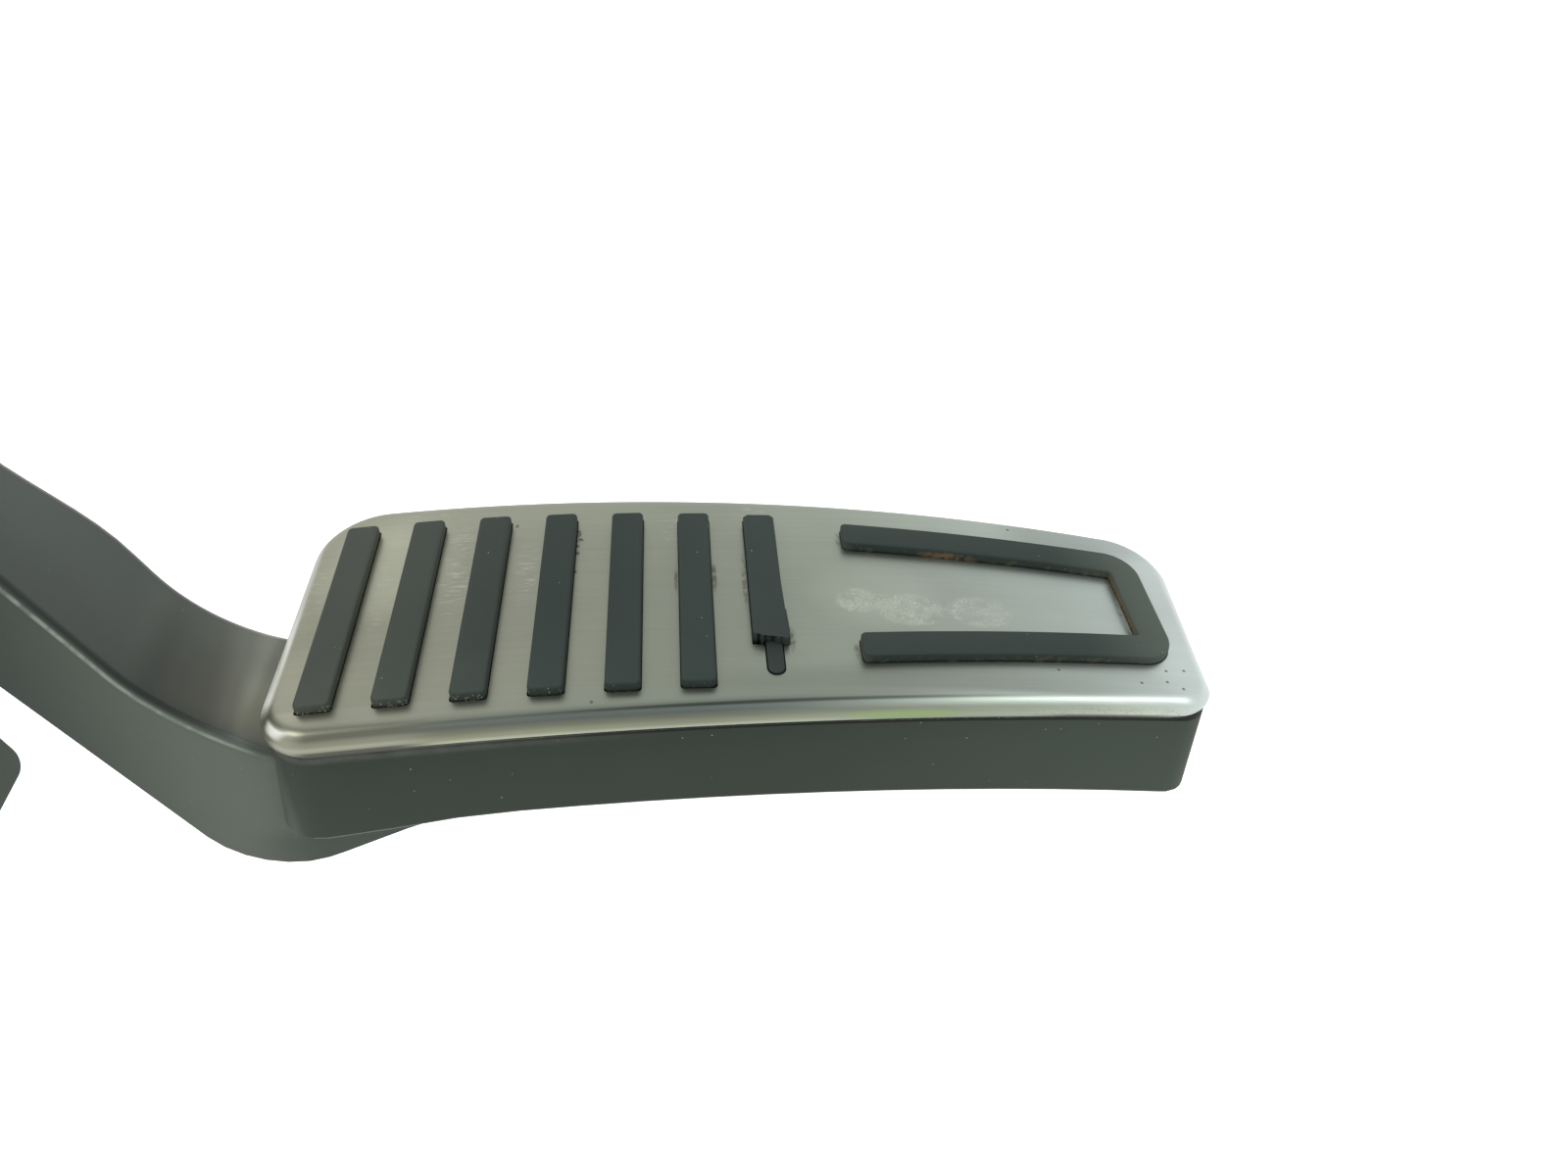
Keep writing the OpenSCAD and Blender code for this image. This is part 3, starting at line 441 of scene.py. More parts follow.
def blot(graph, x, y, cx, cy, rx, ry, soft=1.0):
    # 1 in the middle of an oval mark, 0 outside it
    dx, dy = (x - cx) / rx, (y - cy) / ry
    return (dx * dx + dy * dy).inside(1.0, 1.0 - soft)


steel = {
    # painted reflection: the sheet's colour from the arm's end to the toe
    "along": [(0.0, (0.305, 0.305, 0.236)), (0.45, (0.238, 0.262, 0.212)), (0.66, (0.290, 0.325, 0.277)),
              (0.85, (0.368, 0.420, 0.385)), (0.98, (0.490, 0.548, 0.530))],
    # painted light and shade: the sheet darker at its near side and lighter toward its far side
    "across": [(-23.0, 0.96), (-17.0, 1.03), (-4.0, 1.02), (10.0, 1.08), (19.0, 1.18)],
    "roughness": 0.34,
    "brushing": 0.05,
    "stain": (0.085, 0.062, 0.034),
    "scuff": (0.54, 0.575, 0.50),
    "haze": (0.50, 0.50, 0.42),
    "speck": (0.022, 0.018, 0.014),
    "endLight": (0.72, 0.74, 0.68),
    "greenReflection": (0.24, 0.33, 0.14),
    "grime": (0.19, 0.15, 0.09),
    "armEndHighlight": (0.86, 0.88, 0.82),  # painted highlight: the bright surroundings reflected in the roll at the arm's end
    # painted light and shade, where the sheet is lighter or darker: middle along and across the pad, half
    # sizes, share
    "lightAndShadePatches": [(-35.0, 9.0, 12.0, 14.0, 0.30), (-43.0, -15.0, 9.0, 10.0, 0.18), (36.0, 0.0, 12.0, 9.0, 0.14),
              (82.0, -11.0, 9.0, 12.0, 0.12), (72.0, 17.0, 16.0, 7.0, -0.26),
              (40.0, -18.5, 36.0, 5.0, -0.18)],
    # painted reflections: the tints below darken and lighten bands along the near roll
    # the near roll's tints from its lower edge up: at the arm, in the middle, at the toe; listed from
    # measured ratios of the photo's colours to the render's and then changed
    "rollArm": [(0.0, (0.52, 0.53, 0.49)), (0.13, (0.23, 0.23, 0.23)), (0.22, (0.90, 0.89, 0.93)),
                (0.34, (1.20, 1.19, 1.18)), (0.50, (0.98, 0.97, 0.94)), (0.62, (0.88, 0.88, 0.88)),
                (0.74, (0.50, 0.51, 0.50)), (0.86, (0.40, 0.41, 0.40)), (0.95, (0.50, 0.51, 0.51)),
                (1.0, (1.10, 1.10, 1.12))],
    "roll": [(0.0, (1.32, 1.42, 1.12)), (0.05, (1.90, 1.95, 1.80)), (0.13, (1.42, 1.42, 1.36)),
             (0.24, (0.98, 0.96, 0.88)), (0.44, (0.82, 0.82, 0.74)), (0.60, (0.66, 0.66, 0.64)),
             (0.73, (0.46, 0.49, 0.55)), (0.83, (0.50, 0.55, 0.64)), (0.90, (0.36, 0.39, 0.42)),
             (0.96, (0.72, 0.76, 0.78)), (1.0, (1.02, 1.04, 1.06))],
    "rollToe": [(0.0, (0.95, 1.10, 0.92)), (0.12, (1.0, 1.05, 0.93)), (0.20, (1.12, 1.10, 1.02)),
                (0.44, (0.98, 0.97, 0.84)), (0.60, (1.10, 1.06, 1.00)), (0.72, (1.42, 1.40, 1.40)),
                (0.82, (1.05, 1.10, 1.06)), (0.90, (1.05, 1.04, 1.05)), (0.96, (1.28, 1.26, 1.28)),
                (1.0, (1.12, 1.12, 1.13))],
    # marks: middle along and across the pad, then half sizes
    "scuffs": [(33.4, -1.6, 3.6, 3.0), (36.6, -1.6, 3.4, 1.7), (41.0, -3.3, 5.6, 3.9),
               (51.4, -3.2, 5.6, 3.6)],
    "hazes": [(-31.0, 20.5, 6.0, 3.5), (-24.5, 4.0, 4.0, 11.0), (-25.0, 13.0, 3.5, 6.0),
              (-35.0, 5.0, 2.5, 12.0), (-45.0, 4.0, 2.2, 10.0), (-14.5, 6.0, 2.2, 9.0),
              (20.5, 20.0, 4.0, 1.6), (6.5, 15.5, 2.0, 4.5)],
    "stains": [(17.15, 2.2, 0.5, 7.5), (23.0, -10.2, 0.8, 3.0), (12.75, 3.4, 0.5, 4.2), (7.2, 3.0, 0.35, 3.6),
               (49.5, 9.6, 7.0, 0.75), (74.8, -2.0, 1.3, 5.5), (31.9, -12.4, 0.5, 1.8),
               (32.0, 12.4, 0.45, 1.8)],
    "crumbs": [(-7.35, 14.2, 0.45, 0.9), (-7.1, 12.6, 0.55, 0.6), (-7.45, 11.2, 0.35, 0.5),
               (-7.3, 9.5, 0.4, 0.45), (-7.5, 5.2, 0.3, 0.4), (-16.9, 16.8, 0.3, 0.5),
               (-10.0, -5.9, 0.3, 0.3)],
    "specks": [(77.2, -12.9), (80.1, -12.5), (76.6, -15.2), (72.5, -15.8), (78.7, -16.3), (-4.0, -21.2),
               (60.5, -14.4), (60.4, 17.4)],
    "speckRadius": 0.28,
}


def steelRecipe(graph, place):
    local, x, y, level = padPlace(graph, place)
    fine = graph.noise(graph.vector(x * 0.07, y * 5.5, level), 1.0, 4.0, 0.6)
    coarse = graph.noise(graph.vector(x * 0.02, y * 1.1, level * 0.5), 1.0, 2.0)
    cloud = graph.noise(local, 0.09, 3.0)
    # the brushing noise is the sheet's own; the stretch across the pad and the patches are painted light and
    # shade
    tone = (0.80 + fine * 0.16 + coarse * 0.10 + cloud * 0.12) * graph.scale(y, *steel["across"])
    for *mark, gain in steel["lightAndShadePatches"]:
        tone = tone * (blot(graph, x, y, *mark) * gain + 1.0)
    # the colour along the pad is a painted reflection
    shade = graph.toned(graph.ramp((x + 50.0) / 135.0, steel["along"]), tone)
    onTop = level.inside(-2.1, -1.7)
    # curled scratches inside the U
    swirl = graph.noise(local, 0.9, 1.5, 0.5, 1.6) * 7.0
    curls = swirl.maths("FRACT", swirl)
    threads = curls.inside(0.24, 0.46) * curls.inside(0.76, 0.54)
    patchy = graph.noise(local, 0.50, 5.0, 0.65).inside(0.36, 0.56)
    scuffed = graph.marks(x, y, steel["scuffs"], 0.45).clipped() * patchy * onTop
    # straight haze between the bars, and dirt beside them
    scratchy = graph.noise(graph.vector(x * 0.5, y * 2.5, level), 1.0, 5.0, 0.7).inside(0.50, 0.70)
    haze = graph.marks(x, y, steel["hazes"], 1.0).clipped() * scratchy
    ragged = graph.noise(graph.vector(x * 2.0, y * 0.9, level), 1.0, 4.0).inside(0.36, 0.60)
    stain = graph.marks(x, y, steel["stains"], 1.0).clipped() * ragged
    radius = steel["speckRadius"]
    speck = graph.marks(x, y, [(*middle, radius, radius) for middle in steel["specks"]], 0.6)
    crumbly = graph.noise(local, 2.2, 3.0).inside(0.36, 0.50)
    speck = speck + graph.marks(x, y, steel["crumbs"], 0.5) * crumbly
    # the rolls across the pad's two ends catch the light
    ends = x.inside(-45.4, -46.6) * 0.30 + x.inside(82.6, 84.2) * 0.35
    # a painted highlight on the roll at the arm's end and round its near corner, where the metal is made less
    # metallic
    armEnd = x.inside(-45.6, -46.3) * graph.scale(y, (-19.5, 0.0), (-16.0, 1.0), (-5.0, 0.9), (6.0, 0.3))
    armEnd = armEnd + blot(graph, x, y, -43.6, -20.6, 3.0, 2.4, soft=0.8) * level.inside(-1.8, -2.1)
    armEndHighlight = armEnd.clipped() * level.inside(-3.2, -2.6) * 0.8
    shade = graph.layered(
        shade, (scuffed * (0.16 + threads * 0.74), steel["scuff"]), (haze * 0.55, steel["haze"]),
        (stain * onTop * 0.70, steel["stain"]), (speck.clipped() * 0.85, steel["speck"]),
        (ends * level.inside(-3.6, -2.4), steel["endLight"]))
    # painted reflections on the near roll, from the cover's lower edge up: a light edge, a warm side, a dark
    # band, a bluish line
    roll = (level + 4.8) / 3.2
    tintArm = graph.mix(x.inside(-40.0, -43.0) * 0.7, graph.ramp(roll, steel["rollArm"]), (1.25, 1.25, 1.25))
    # painted shade: a dark line low on the roll at the toe, and a thin dark band high on the roll along the
    # middle
    under = x.inside(54.0, 62.0) * roll.inside(0.19, 0.13) * 0.64
    under = under + blot(graph, x, roll, 22.0, 0.905, 38.0, 0.05) * 0.5
    tint = graph.layered(
        graph.ramp(roll, steel["roll"]), (x.inside(-22.0, -30.0), tintArm),
        (x.inside(12.0, 52.0), graph.ramp(roll, steel["rollToe"])), (under, (0.0, 0.0, 0.0)))
    shade = graph.mix(y.inside(-18.5, -19.5), shade, graph.mix(1.0, shade, tint, "MULTIPLY"))
    # a painted green reflection low on the rim's near side
    greenReflection = blot(graph, x, level, 37.5, -3.9, 10.5, 1.0) * y.inside(-19.0, -20.5)
    grime = graph.dots(graph.vector(x * 1.2, y, level * 2.0), 1.6, 0.32)
    grime = grime * x.inside(50.0, 60.0) * level.inside(-2.6, -3.6)
    shade = graph.layered(
        shade, (greenReflection * 0.75, steel["greenReflection"]), (grime * 0.55, steel["grime"]), (armEndHighlight, steel["armEndHighlight"]))
    dull = (stain * onTop * 0.65 + speck * 0.9 + armEndHighlight).clipped()
    return {"Base Color": shade, "Metallic": 1.0 - dull,
            "Roughness": steel["roughness"] + fine * 0.10 + scuffed * 0.22 + stain * 0.3,
            "Normal": graph.bump(fine, steel["brushing"], 0.00005)}


rubber = {
    "shade": (0.022, 0.032, 0.028),
    "pale": (0.066, 0.075, 0.061),
    "cross": (0.068, 0.086, 0.071),
    "dust": (0.30, 0.30, 0.26),
    "dirt": (0.085, 0.075, 0.045),
    "burr": (0.34, 0.33, 0.28),
    "crumb": (0.10, 0.075, 0.045),
    "foot": (0.006, 0.008, 0.007),
    "openEnd": (0.10, 0.095, 0.07),
    "crossDirt": (0.10, 0.065, 0.035),
    "innerDirt": (0.13, 0.085, 0.042),
    "bandLit": (0.080, 0.082, 0.075),
    "bandFootShadow": (0.003, 0.003, 0.003),
    "bandGapShade": (0.004, 0.004, 0.003),
    "roughness": 0.50,
    "sheen": 0.16,
}


def rubberRecipe(graph, place):
    local, x, y, level = padPlace(graph, place)
    cloud = graph.noise(local, 0.16, 3.0)
    fine = graph.noise(local, 5.0, 3.0)
    # painted light: the bars lighten toward the arm's end and over the U's cross piece
    shade = graph.mix(x.inside(-5.0, -48.0) * 0.75, rubber["shade"], rubber["pale"])
    shade = graph.mix(x.inside(64.0, 80.0) * 0.75, shade, rubber["cross"])
    shade = graph.toned(shade, 0.84 + cloud * 0.26 + fine * 0.06)
    flank = level.inside(-0.25, -0.9)
    crumbs = graph.dots(local, 2.4, 0.27) * (y + 19.4).inside(0.9, 0.1) * level.inside(-0.3, -0.9)
    crumbShade = graph.mix(x.inside(-14.0, -4.0), rubber["burr"], rubber["crumb"])
    openEnds = x.inside(34.2, 33.0) * x.inside(31.0, 32.0) * level.inside(-0.2, -0.6)
    soil = graph.noise(local, 0.9, 4.0).inside(0.5, 0.68) * flank * x.inside(28.0, 38.0)
    crossing = x.inside(72.5, 74.0) * x.inside(79.0, 78.0) * y.inside(-8.0, -6.0) * y.inside(8.0, 6.0) * flank
    crossing = crossing * graph.noise(local, 1.6, 3.0).inside(0.40, 0.56)
    inner = blot(graph, x, y, 50.0, 9.6, 7.0, 1.3, soft=0.8) * flank
    inner = inner * graph.noise(local, 1.4, 3.0).inside(0.40, 0.55)
    onBand = level.inside(-4.6, -4.7)  # the band round the sheet's edge, under the rim
    # painted shade: black gaps in the band toward the toe
    gapShade = onBand * graph.noise(local, 1.8, 4.0).inside(0.48, 0.60) * x.inside(46.0, 56.0)
    # painted shadow lines at the bars' foot and under the band, and painted light on the band toward the
    # arm's end
    shade = graph.layered(
        shade, (level.inside(-1.1, -1.6) * 0.8, rubber["foot"]), (crumbs * 0.8, crumbShade),
        (openEnds * fine * 0.5, rubber["openEnd"]), (soil * 0.5, rubber["dirt"]),
        (crossing * 0.9, rubber["crossDirt"]), (inner * 0.9, rubber["innerDirt"]),
        (onBand * x.inside(8.0, -28.0), rubber["bandLit"]), (level.inside(-5.42, -5.52), rubber["bandFootShadow"]),
        (gapShade * 0.9, rubber["bandGapShade"]), (graph.dots(local, 0.42, 0.045) * 0.9, rubber["dust"]))
    grain = graph.noise(local, 9.0, 2.0)
    return {"Base Color": shade, "Roughness": rubber["roughness"] + cloud * 0.12,
            "Specular IOR Level": rubber["sheen"], "Normal": graph.bump(grain, 0.06, 0.0001)}


skirt = {
    "shade": (0.026, 0.036, 0.027),
    "toe": (0.037, 0.052, 0.040),
    "edge": (0.17, 0.19, 0.16),
    "fleck": (0.26, 0.27, 0.23),
    "underRimShadow": (0.004, 0.004, 0.004),
    "cornerLight": (0.10, 0.115, 0.095),
    "upperPaleBand": (0.14, 0.155, 0.13),
    "footLevel": -21.2,
    "footDown": 1.7,  # how far the near arm corner's foot stands down and out
    "footOut": 1.1,
    "roughness": 0.55,
    "sheen": 0.16,
}


def skirtRecipe(graph, place):
    local, x, y, level = padPlace(graph, place)
    cloud = graph.noise(local, 0.10, 3.0)
    grain = graph.noise(local, 7.0, 3.0)
    shade = graph.mix(x.inside(8.0, 80.0), skirt["shade"], skirt["toe"])
    shade = graph.toned(shade, 0.86 + cloud * 0.22 + grain * 0.05)
    lower = level - skirt["footLevel"] + x.inside(-18.0, -42.0) * skirt["footDown"]
    # a painted highlight along the lower edge toward the arm's end
    line = lower.inside(0.55, 0.1) * x.inside(0.0, -25.0)
    corner = x.inside(-44.6, -46.8) * y.inside(-12.0, -18.0)
    # a paler, patchy band high on the skirt toward the arm's end
    upper = level.inside(-7.6, -6.6) * x.inside(10.0, -30.0) * graph.noise(local, 0.35, 2.0)
    scratch = graph.noise(graph.vector(x * 0.35, y * 0.3, level * 1.6), 1.0, 6.0, 0.8, 1.2).inside(0.70, 0.74)
    # a painted shadow: the black line just under the rim's band; the lit corner is painted light
    shade = graph.layered(
        shade, (line * 0.55, skirt["edge"]), (level.inside(-6.35, -6.0), skirt["underRimShadow"]),
        (corner * 0.4, skirt["cornerLight"]), (upper * 0.5, skirt["upperPaleBand"]),
        (graph.dots(local, 0.33, 0.05) * 0.7, skirt["fleck"]), (scratch * 0.25, skirt["fleck"]))
    return {"Base Color": shade, "Roughness": skirt["roughness"] + cloud * 0.08,
            "Specular IOR Level": skirt["sheen"], "Normal": graph.bump(grain, 0.10)}


armSkin = {
    "shade": (0.090, 0.117, 0.104),
    "low": (0.060, 0.070, 0.063),
    "side": (0.026, 0.037, 0.030),
    "sideLight": (0.086, 0.104, 0.081),
    "warm": (0.112, 0.112, 0.086),
    "bead": (0.21, 0.235, 0.205),
    "edge": (0.27, 0.25, 0.245),
    "far": (0.150, 0.175, 0.160),
    "grooveShade": (0.020, 0.026, 0.022),
    "fleck": (0.24, 0.25, 0.22),
    # painted light and shade: its face is darkest before the bend and lightens toward the pad
    "lift": [(-69.0, 0.64), (-62.0, 0.75), (-58.5, 0.91), (-56.0, 0.98), (-53.0, 1.30), (-50.5, 1.80)],
    "roughness": 0.42,
    "sheen": 0.22,
}


def armRecipe(graph, place):
    local, x, y, level = padPlace(graph, place)
    cloud = graph.noise(local, 0.07, 3.0)
    grain = graph.noise(local, 6.0, 3.0)
    # painted light and shade: the side lighter toward the pad and darker again low down near it
    side = graph.mix(x.inside(-78.0, -52.0), armSkin["side"], armSkin["sideLight"])
    side = graph.mix(level.inside(-22.0, -28.0) * 0.8 * x.inside(-58.0, -44.0), side, armSkin["side"])
    # painted shade: the face darker toward the pad
    face = graph.mix(x.inside(-92.0, -66.0), armSkin["shade"], armSkin["low"])
    across = graph.add("ShaderNodeAttribute", {"attribute_name": "across"}, None, "Fac")
    # painted shade in the groove inside the bead, and a painted highlight broken along the bead
    grooveShade = across.inside(0.10, 0.16) * across.inside(0.46, 0.22)
    grooveShade = grooveShade * graph.scale(x, (-60.0, 1.0), (-50.0, 0.15))
    broken = 0.45 + graph.noise(local, 0.6, 4.0).inside(0.35, 0.62) * 0.55
    bead = across.inside(0.035, 0.065) * across.inside(0.12, 0.085) * x.inside(-46.0, -53.0) * broken
    # painted light: a warm patch near the pad, the face lighter toward its far edge and a highlight along
    # that edge
    shade = graph.layered(
        face, (y.inside(-18.6, -19.3), side),
        (x.inside(-66.0, -50.0) * y.inside(-19.0, -14.0) * 0.8, armSkin["warm"]),
        (grooveShade, armSkin["grooveShade"]), (bead, armSkin["bead"]),
        (across.inside(0.50, 0.85) * 0.26, armSkin["far"]),
        (across.inside(0.84, 0.88) * across.inside(0.99, 0.97) * 0.95, armSkin["edge"]))
    # painted light and shade: the face darkest before the bend and lighter again close to the pad
    lift = graph.scale(x, *armSkin["lift"]) + x.inside(-53.0, -50.5) * y.inside(-5.0, -11.0) * 0.5
    lift = lift - x.inside(-66.0, -60.0) * x.inside(-52.5, -55.0) * y.inside(0.0, -9.0) * 0.14
    lift = 1.0 + (lift - 1.0) * level.inside(7.5, 2.5) * y.inside(-19.2, -18.4)
    shade = graph.toned(shade, (0.84 + cloud * 0.24 + grain * 0.05) * lift)
    shade = graph.mix(graph.dots(local, 0.30, 0.045) * 0.35, shade, armSkin["fleck"])
    return {"Base Color": shade, "Roughness": armSkin["roughness"] + cloud * 0.10,
            "Specular IOR Level": armSkin["sheen"], "Normal": graph.bump(grain, 0.08)}


def mouldedRecipe(shade, roughness, grainSize=5.0):
    # a moulded plastic or rubber with a fine grain and a little unevenness
    def recipe(graph, place):
        spot = plainPlace(graph, place)
        cloud = graph.noise(spot, 0.08, 3.0)
        grain = graph.noise(spot, grainSize, 3.0)
        colour = graph.toned(shade, 0.80 + cloud * 0.30 + grain * 0.08)
        dust = tuple(min(1, 3 * c + 0.05) for c in shade)
        colour = graph.mix(graph.dots(spot, 0.25, 0.05) * 0.4, colour, dust)
        return {"Base Color": colour, "Roughness": roughness + cloud * 0.12, "Specular IOR Level": 0.25,
                "Normal": graph.bump(grain, 0.12)}
    return recipe


def metalRecipe(shade, roughness, stretch=(1.0, 1.0, 1.0)):
    # turned, drawn or plated metal; stretch lays its fine marks in one direction
    def recipe(graph, place):
        spot = plainPlace(graph, place, stretch)
        fine = graph.noise(spot, 3.0, 4.0)
        colour = graph.toned(shade, 0.80 + fine * 0.22 + graph.noise(spot, 0.3, 2.0) * 0.16)
        return {"Base Color": colour, "Metallic": 1.0, "Roughness": roughness + fine * 0.12,
                "Normal": graph.bump(fine, 0.06, 0.00006)}
    return recipe


def boardRecipe(graph, place):
    spot = plainPlace(graph, place)
    tracks = graph.noise(spot, 0.6, 0.0).inside(0.49, 0.51)
    colour = graph.mix(tracks * 0.6, (0.018, 0.115, 0.050), (0.030, 0.170, 0.075))
    return {"Base Color": colour, "Roughness": 0.32 + graph.noise(spot, 2.5, 2.0) * 0.15}


materials = {
    "brushedCoverSteel": (steelRecipe, "pad_cover"),
    "slateBarRubber": (rubberRecipe, "pad_rubber"),
    "skirtPlastic": (skirtRecipe, "pad_carrier"),
    "satinArmPlastic": (armRecipe, "pedal_arm"),
    "housingPlastic": (mouldedRecipe((0.062, 0.082, 0.066), 0.50), "housing"),
    "housingCoverPlastic": (mouldedRecipe((0.044, 0.056, 0.049), 0.52), "side_cover"),
    "blackSensorPlastic": (mouldedRecipe((0.030, 0.033, 0.035), 0.45), "sensor_cover", "magnet_carrier"),
    "blackStopRubber": (mouldedRecipe((0.022, 0.022, 0.022), 0.75, 2.5),
                        "idle_stop", "full_travel_stop", "sensor_seal"),
    "naturalAcetal": (mouldedRecipe((0.62, 0.60, 0.53), 0.35, 3.0), "spring_seat"),
    "groundShaftSteel": (metalRecipe((0.52, 0.52, 0.52), 0.22, (3.0, 0.2, 3.0)),
                         "pivot_shaft", "bolt_sleeves"),
    "platedScrewSteel": (metalRecipe((0.46, 0.46, 0.43), 0.34),
                         "carrier_screws", "side_cover_screws", "sensor_cover_screws"),
    "drawnSpringSteel": (metalRecipe((0.30, 0.30, 0.31), 0.38), "return_spring_outer", "return_spring_inner"),
    "bearingBronze": (metalRecipe((0.48, 0.33, 0.15), 0.36, (2.0, 0.3, 2.0)),
                      "shaft_bush_near", "shaft_bush_far"),
    "sinteredMagnet": (metalRecipe((0.12, 0.12, 0.125), 0.48), "ring_magnet"),
    "tinnedBrass": (metalRecipe((0.62, 0.55, 0.36), 0.28, (1.0, 1.0, 4.0)), "connector_terminals"),
    "lacqueredBoard": (boardRecipe, "sensor_board"),
}
looks = {}
for name, (recipe, *nodes) in materials.items():
    material = newMaterial(name, recipe)
    for node in nodes:
        looks[node] = material
        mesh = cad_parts[node].data
        mesh.materials.clear()
        mesh.materials.append(material)
coverLook, rubberLook, armLook = looks["pad_cover"], looks["pad_rubber"], looks["pedal_arm"]
print("materials made")

# bars and slots

bars = {
    "count": 6,
    "first": -40.0,
    "pitch": 10.0,
    "width": 4.7,
    "nearMargin": 4.15,
    "nearSlope": -0.012,  # the near ends sit further in toward the arm
    "farMargin": 6.4,
    "templateLength": 38.0,
    "rounding": 0.42,
    "cornerRadius": 0.7,
    "slotCorner": 0.5,
    "footDepth": 3.0,  # their lower ends, inside the rubber sheet
    "cutDepth": 5.1,
    "cutTop": -1.5,
    "uStart": 32.6,
    "uCross": 76.9,
    "uHalfOpen": 12.3,
    "uHalfCross": 9.4,
    "uCorner": 0.75,
    "uTurn": 2.75,
    "uLeastRadius": 0.12,
    "uSideSteps": 16,
    "uTurnSteps": 10,
}


def barRowTree():
    # lays a template bar at each place along the crowned pad and makes it as long as the pad is wide there
    tree, graph, size = newTree("barRow", {
        "Count": ("Int", bars["count"]), "First": ("Float", bars["first"] * mm),
        "Pitch": ("Float", bars["pitch"] * mm), "Near Margin": ("Float", bars["nearMargin"] * mm),
        "Near Slope": ("Float", bars["nearSlope"]), "Far Margin": ("Float", bars["farMargin"] * mm),
        "Template Length": ("Float", bars["templateLength"] * mm),
        "Half Width": ("Float", pad["halfWidth"] * mm), "Taper": ("Float", pad["taper"]),
        "Bow Radius": ("Float", pad["bowRadius"] * mm), "Crown Radius": ("Float", pad["crownRadius"] * mm),
        "Template": ("Object", None), "Finish": ("Material", None)})
    row = graph.add("GeometryNodeMeshLine", {"mode": "OFFSET"}, {
        "Count": size["Count"], "Start Location": graph.vector(size["First"], 0.0, 0.0),
        "Offset": graph.vector(size["Pitch"], 0.0, 0.0)}, "Mesh")
    x = graph.parts(graph.add("GeometryNodeInputPosition"))[0]
    half = size["Half Width"] - size["Taper"] * x - x * x / (size["Bow Radius"] * 2.0)
    low, high = size["Near Margin"] + size["Near Slope"] * x - half, half - size["Far Margin"]
    middle = graph.vector(0.0, (low + high) * 0.5, 0.0)
    row = graph.add("GeometryNodeSetPosition", None, {"Geometry": row, "Offset": middle})
    template = graph.add("GeometryNodeObjectInfo", None, {"Object": size["Template"]}, "Geometry")
    stretch = graph.vector(1.0, (high - low) / size["Template Length"], 1.0)
    row = graph.add("GeometryNodeInstanceOnPoints", None, {
        "Points": row, "Instance": template, "Scale": stretch})
    row = graph.add("GeometryNodeRealizeInstances", None, {"Geometry": row})
    drop = graph.vector(0.0, 0.0, x * x / (size["Crown Radius"] * -2.0))
    row = graph.add("GeometryNodeSetPosition", None, {"Geometry": row, "Offset": drop})
    row = graph.add("GeometryNodeTransform", None, {
        "Geometry": row, "Translation": pad["origin"], "Rotation": (0, math.radians(pad["tilt"]), 0)})
    row = graph.add("GeometryNodeSetMaterial", None, {"Geometry": row, "Material": size["Finish"]})
    graph.add("NodeGroupOutput", None, {"Geometry": row})
    return tree


barTree = barRowTree()


def barRow(name, grow, bottom, top, rounding, radius, material):
    # one bar about the origin, flat, repeated along the pad
    half, length = bars["width"] / 2 + grow, bars["templateLength"] / 2 + grow
    outline = []
    for side, end, start in ((1, -1, -90), (1, 1, 0), (-1, 1, 90), (-1, -1, 180)):
        cx, cy = side * (half - radius), end * (length - radius)
        for a in (math.radians(start + 30 * i) for i in range(4)):
            outline.append((cx + radius * math.cos(a), cy + radius * math.sin(a)))
    bm = bmesh.new()
    template = capped(name + "Template", bm, raised(bm, outline, bottom, top, rounding, place=flat))
    row = grown(name, bmesh.new(), barTree, {"Template": template, "Finish": material}, 30.0)
    bpy.data.objects.remove(template)
    return row


def uPairs(grow):
    # pairs of points on the U's outer and inner lines, from its near open end round to its far one
    slope = (bars["uHalfOpen"] - bars["uHalfCross"]) / (bars["uCross"] - bars["uStart"])
    reach = bars["width"] / 2 + grow
    radii = (bars["uTurn"] + reach, max(bars["uTurn"] - reach, bars["uLeastRadius"]))
    cx = bars["uCross"] - bars["uTurn"]
    cy = bars["uHalfCross"] - bars["uTurn"] + bars["uTurn"] * slope
    first = bars["uStart"] - grow
    places = [(first + bars["uCorner"] * (1 - math.sin(a)), bars["uCorner"] * (1 - math.cos(a)))
              for a in (1.571, 1.1, 0.7, 0.3, 0.0)]
    first = places[-1][0]
    places += [(first + (cx - first) * i / bars["uSideSteps"], 0.0) for i in range(1, bars["uSideSteps"] + 1)]
    pairs = []
    for x, less in places:
        y = bars["uHalfCross"] + (bars["uCross"] - x) * slope
        pairs.append(((x, -y - reach + less), (x, -y + reach - less)))
    quarter = math.pi / 2 + math.atan(slope)
    for i in range(1, bars["uTurnSteps"] + 1):
        a = quarter * i / bars["uTurnSteps"] - quarter
        pairs.append(tuple((cx + r * math.cos(a), -cy + r * math.sin(a)) for r in radii))
    mirrored = [((ox, -oy), (ix, -iy)) for (ox, oy), (ix, iy) in reversed(pairs)]
    return pairs + mirrored


torn = {
    "middle": 20.0,
    "stumpEnd": -11.0,
    "tailEnd": -17.0,
    "tailMiddle": 20.5,
    "tailHalf": 1.2,
    "tailTop": 1.25,  # how deep the stump of the torn strip lies in its slot
    "overlap": 1.5,
    "chamfer": 0.6,
    # the ragged end, by places across the bar from its left edge to its right one
    "ragged": [(-2.35, -10.3), (-1.9, -10.7), (-1.5, -10.35), (-1.1, -11.2), (-0.7, -10.6), (-0.2, -11.0),
               (0.4, -10.5), (1.0, -11.4), (1.5, -11.1), (2.0, -11.5), (2.7, -11.25), (2.8, -9.4),
               (2.63, -5.4), (2.35, -5.2)],
}


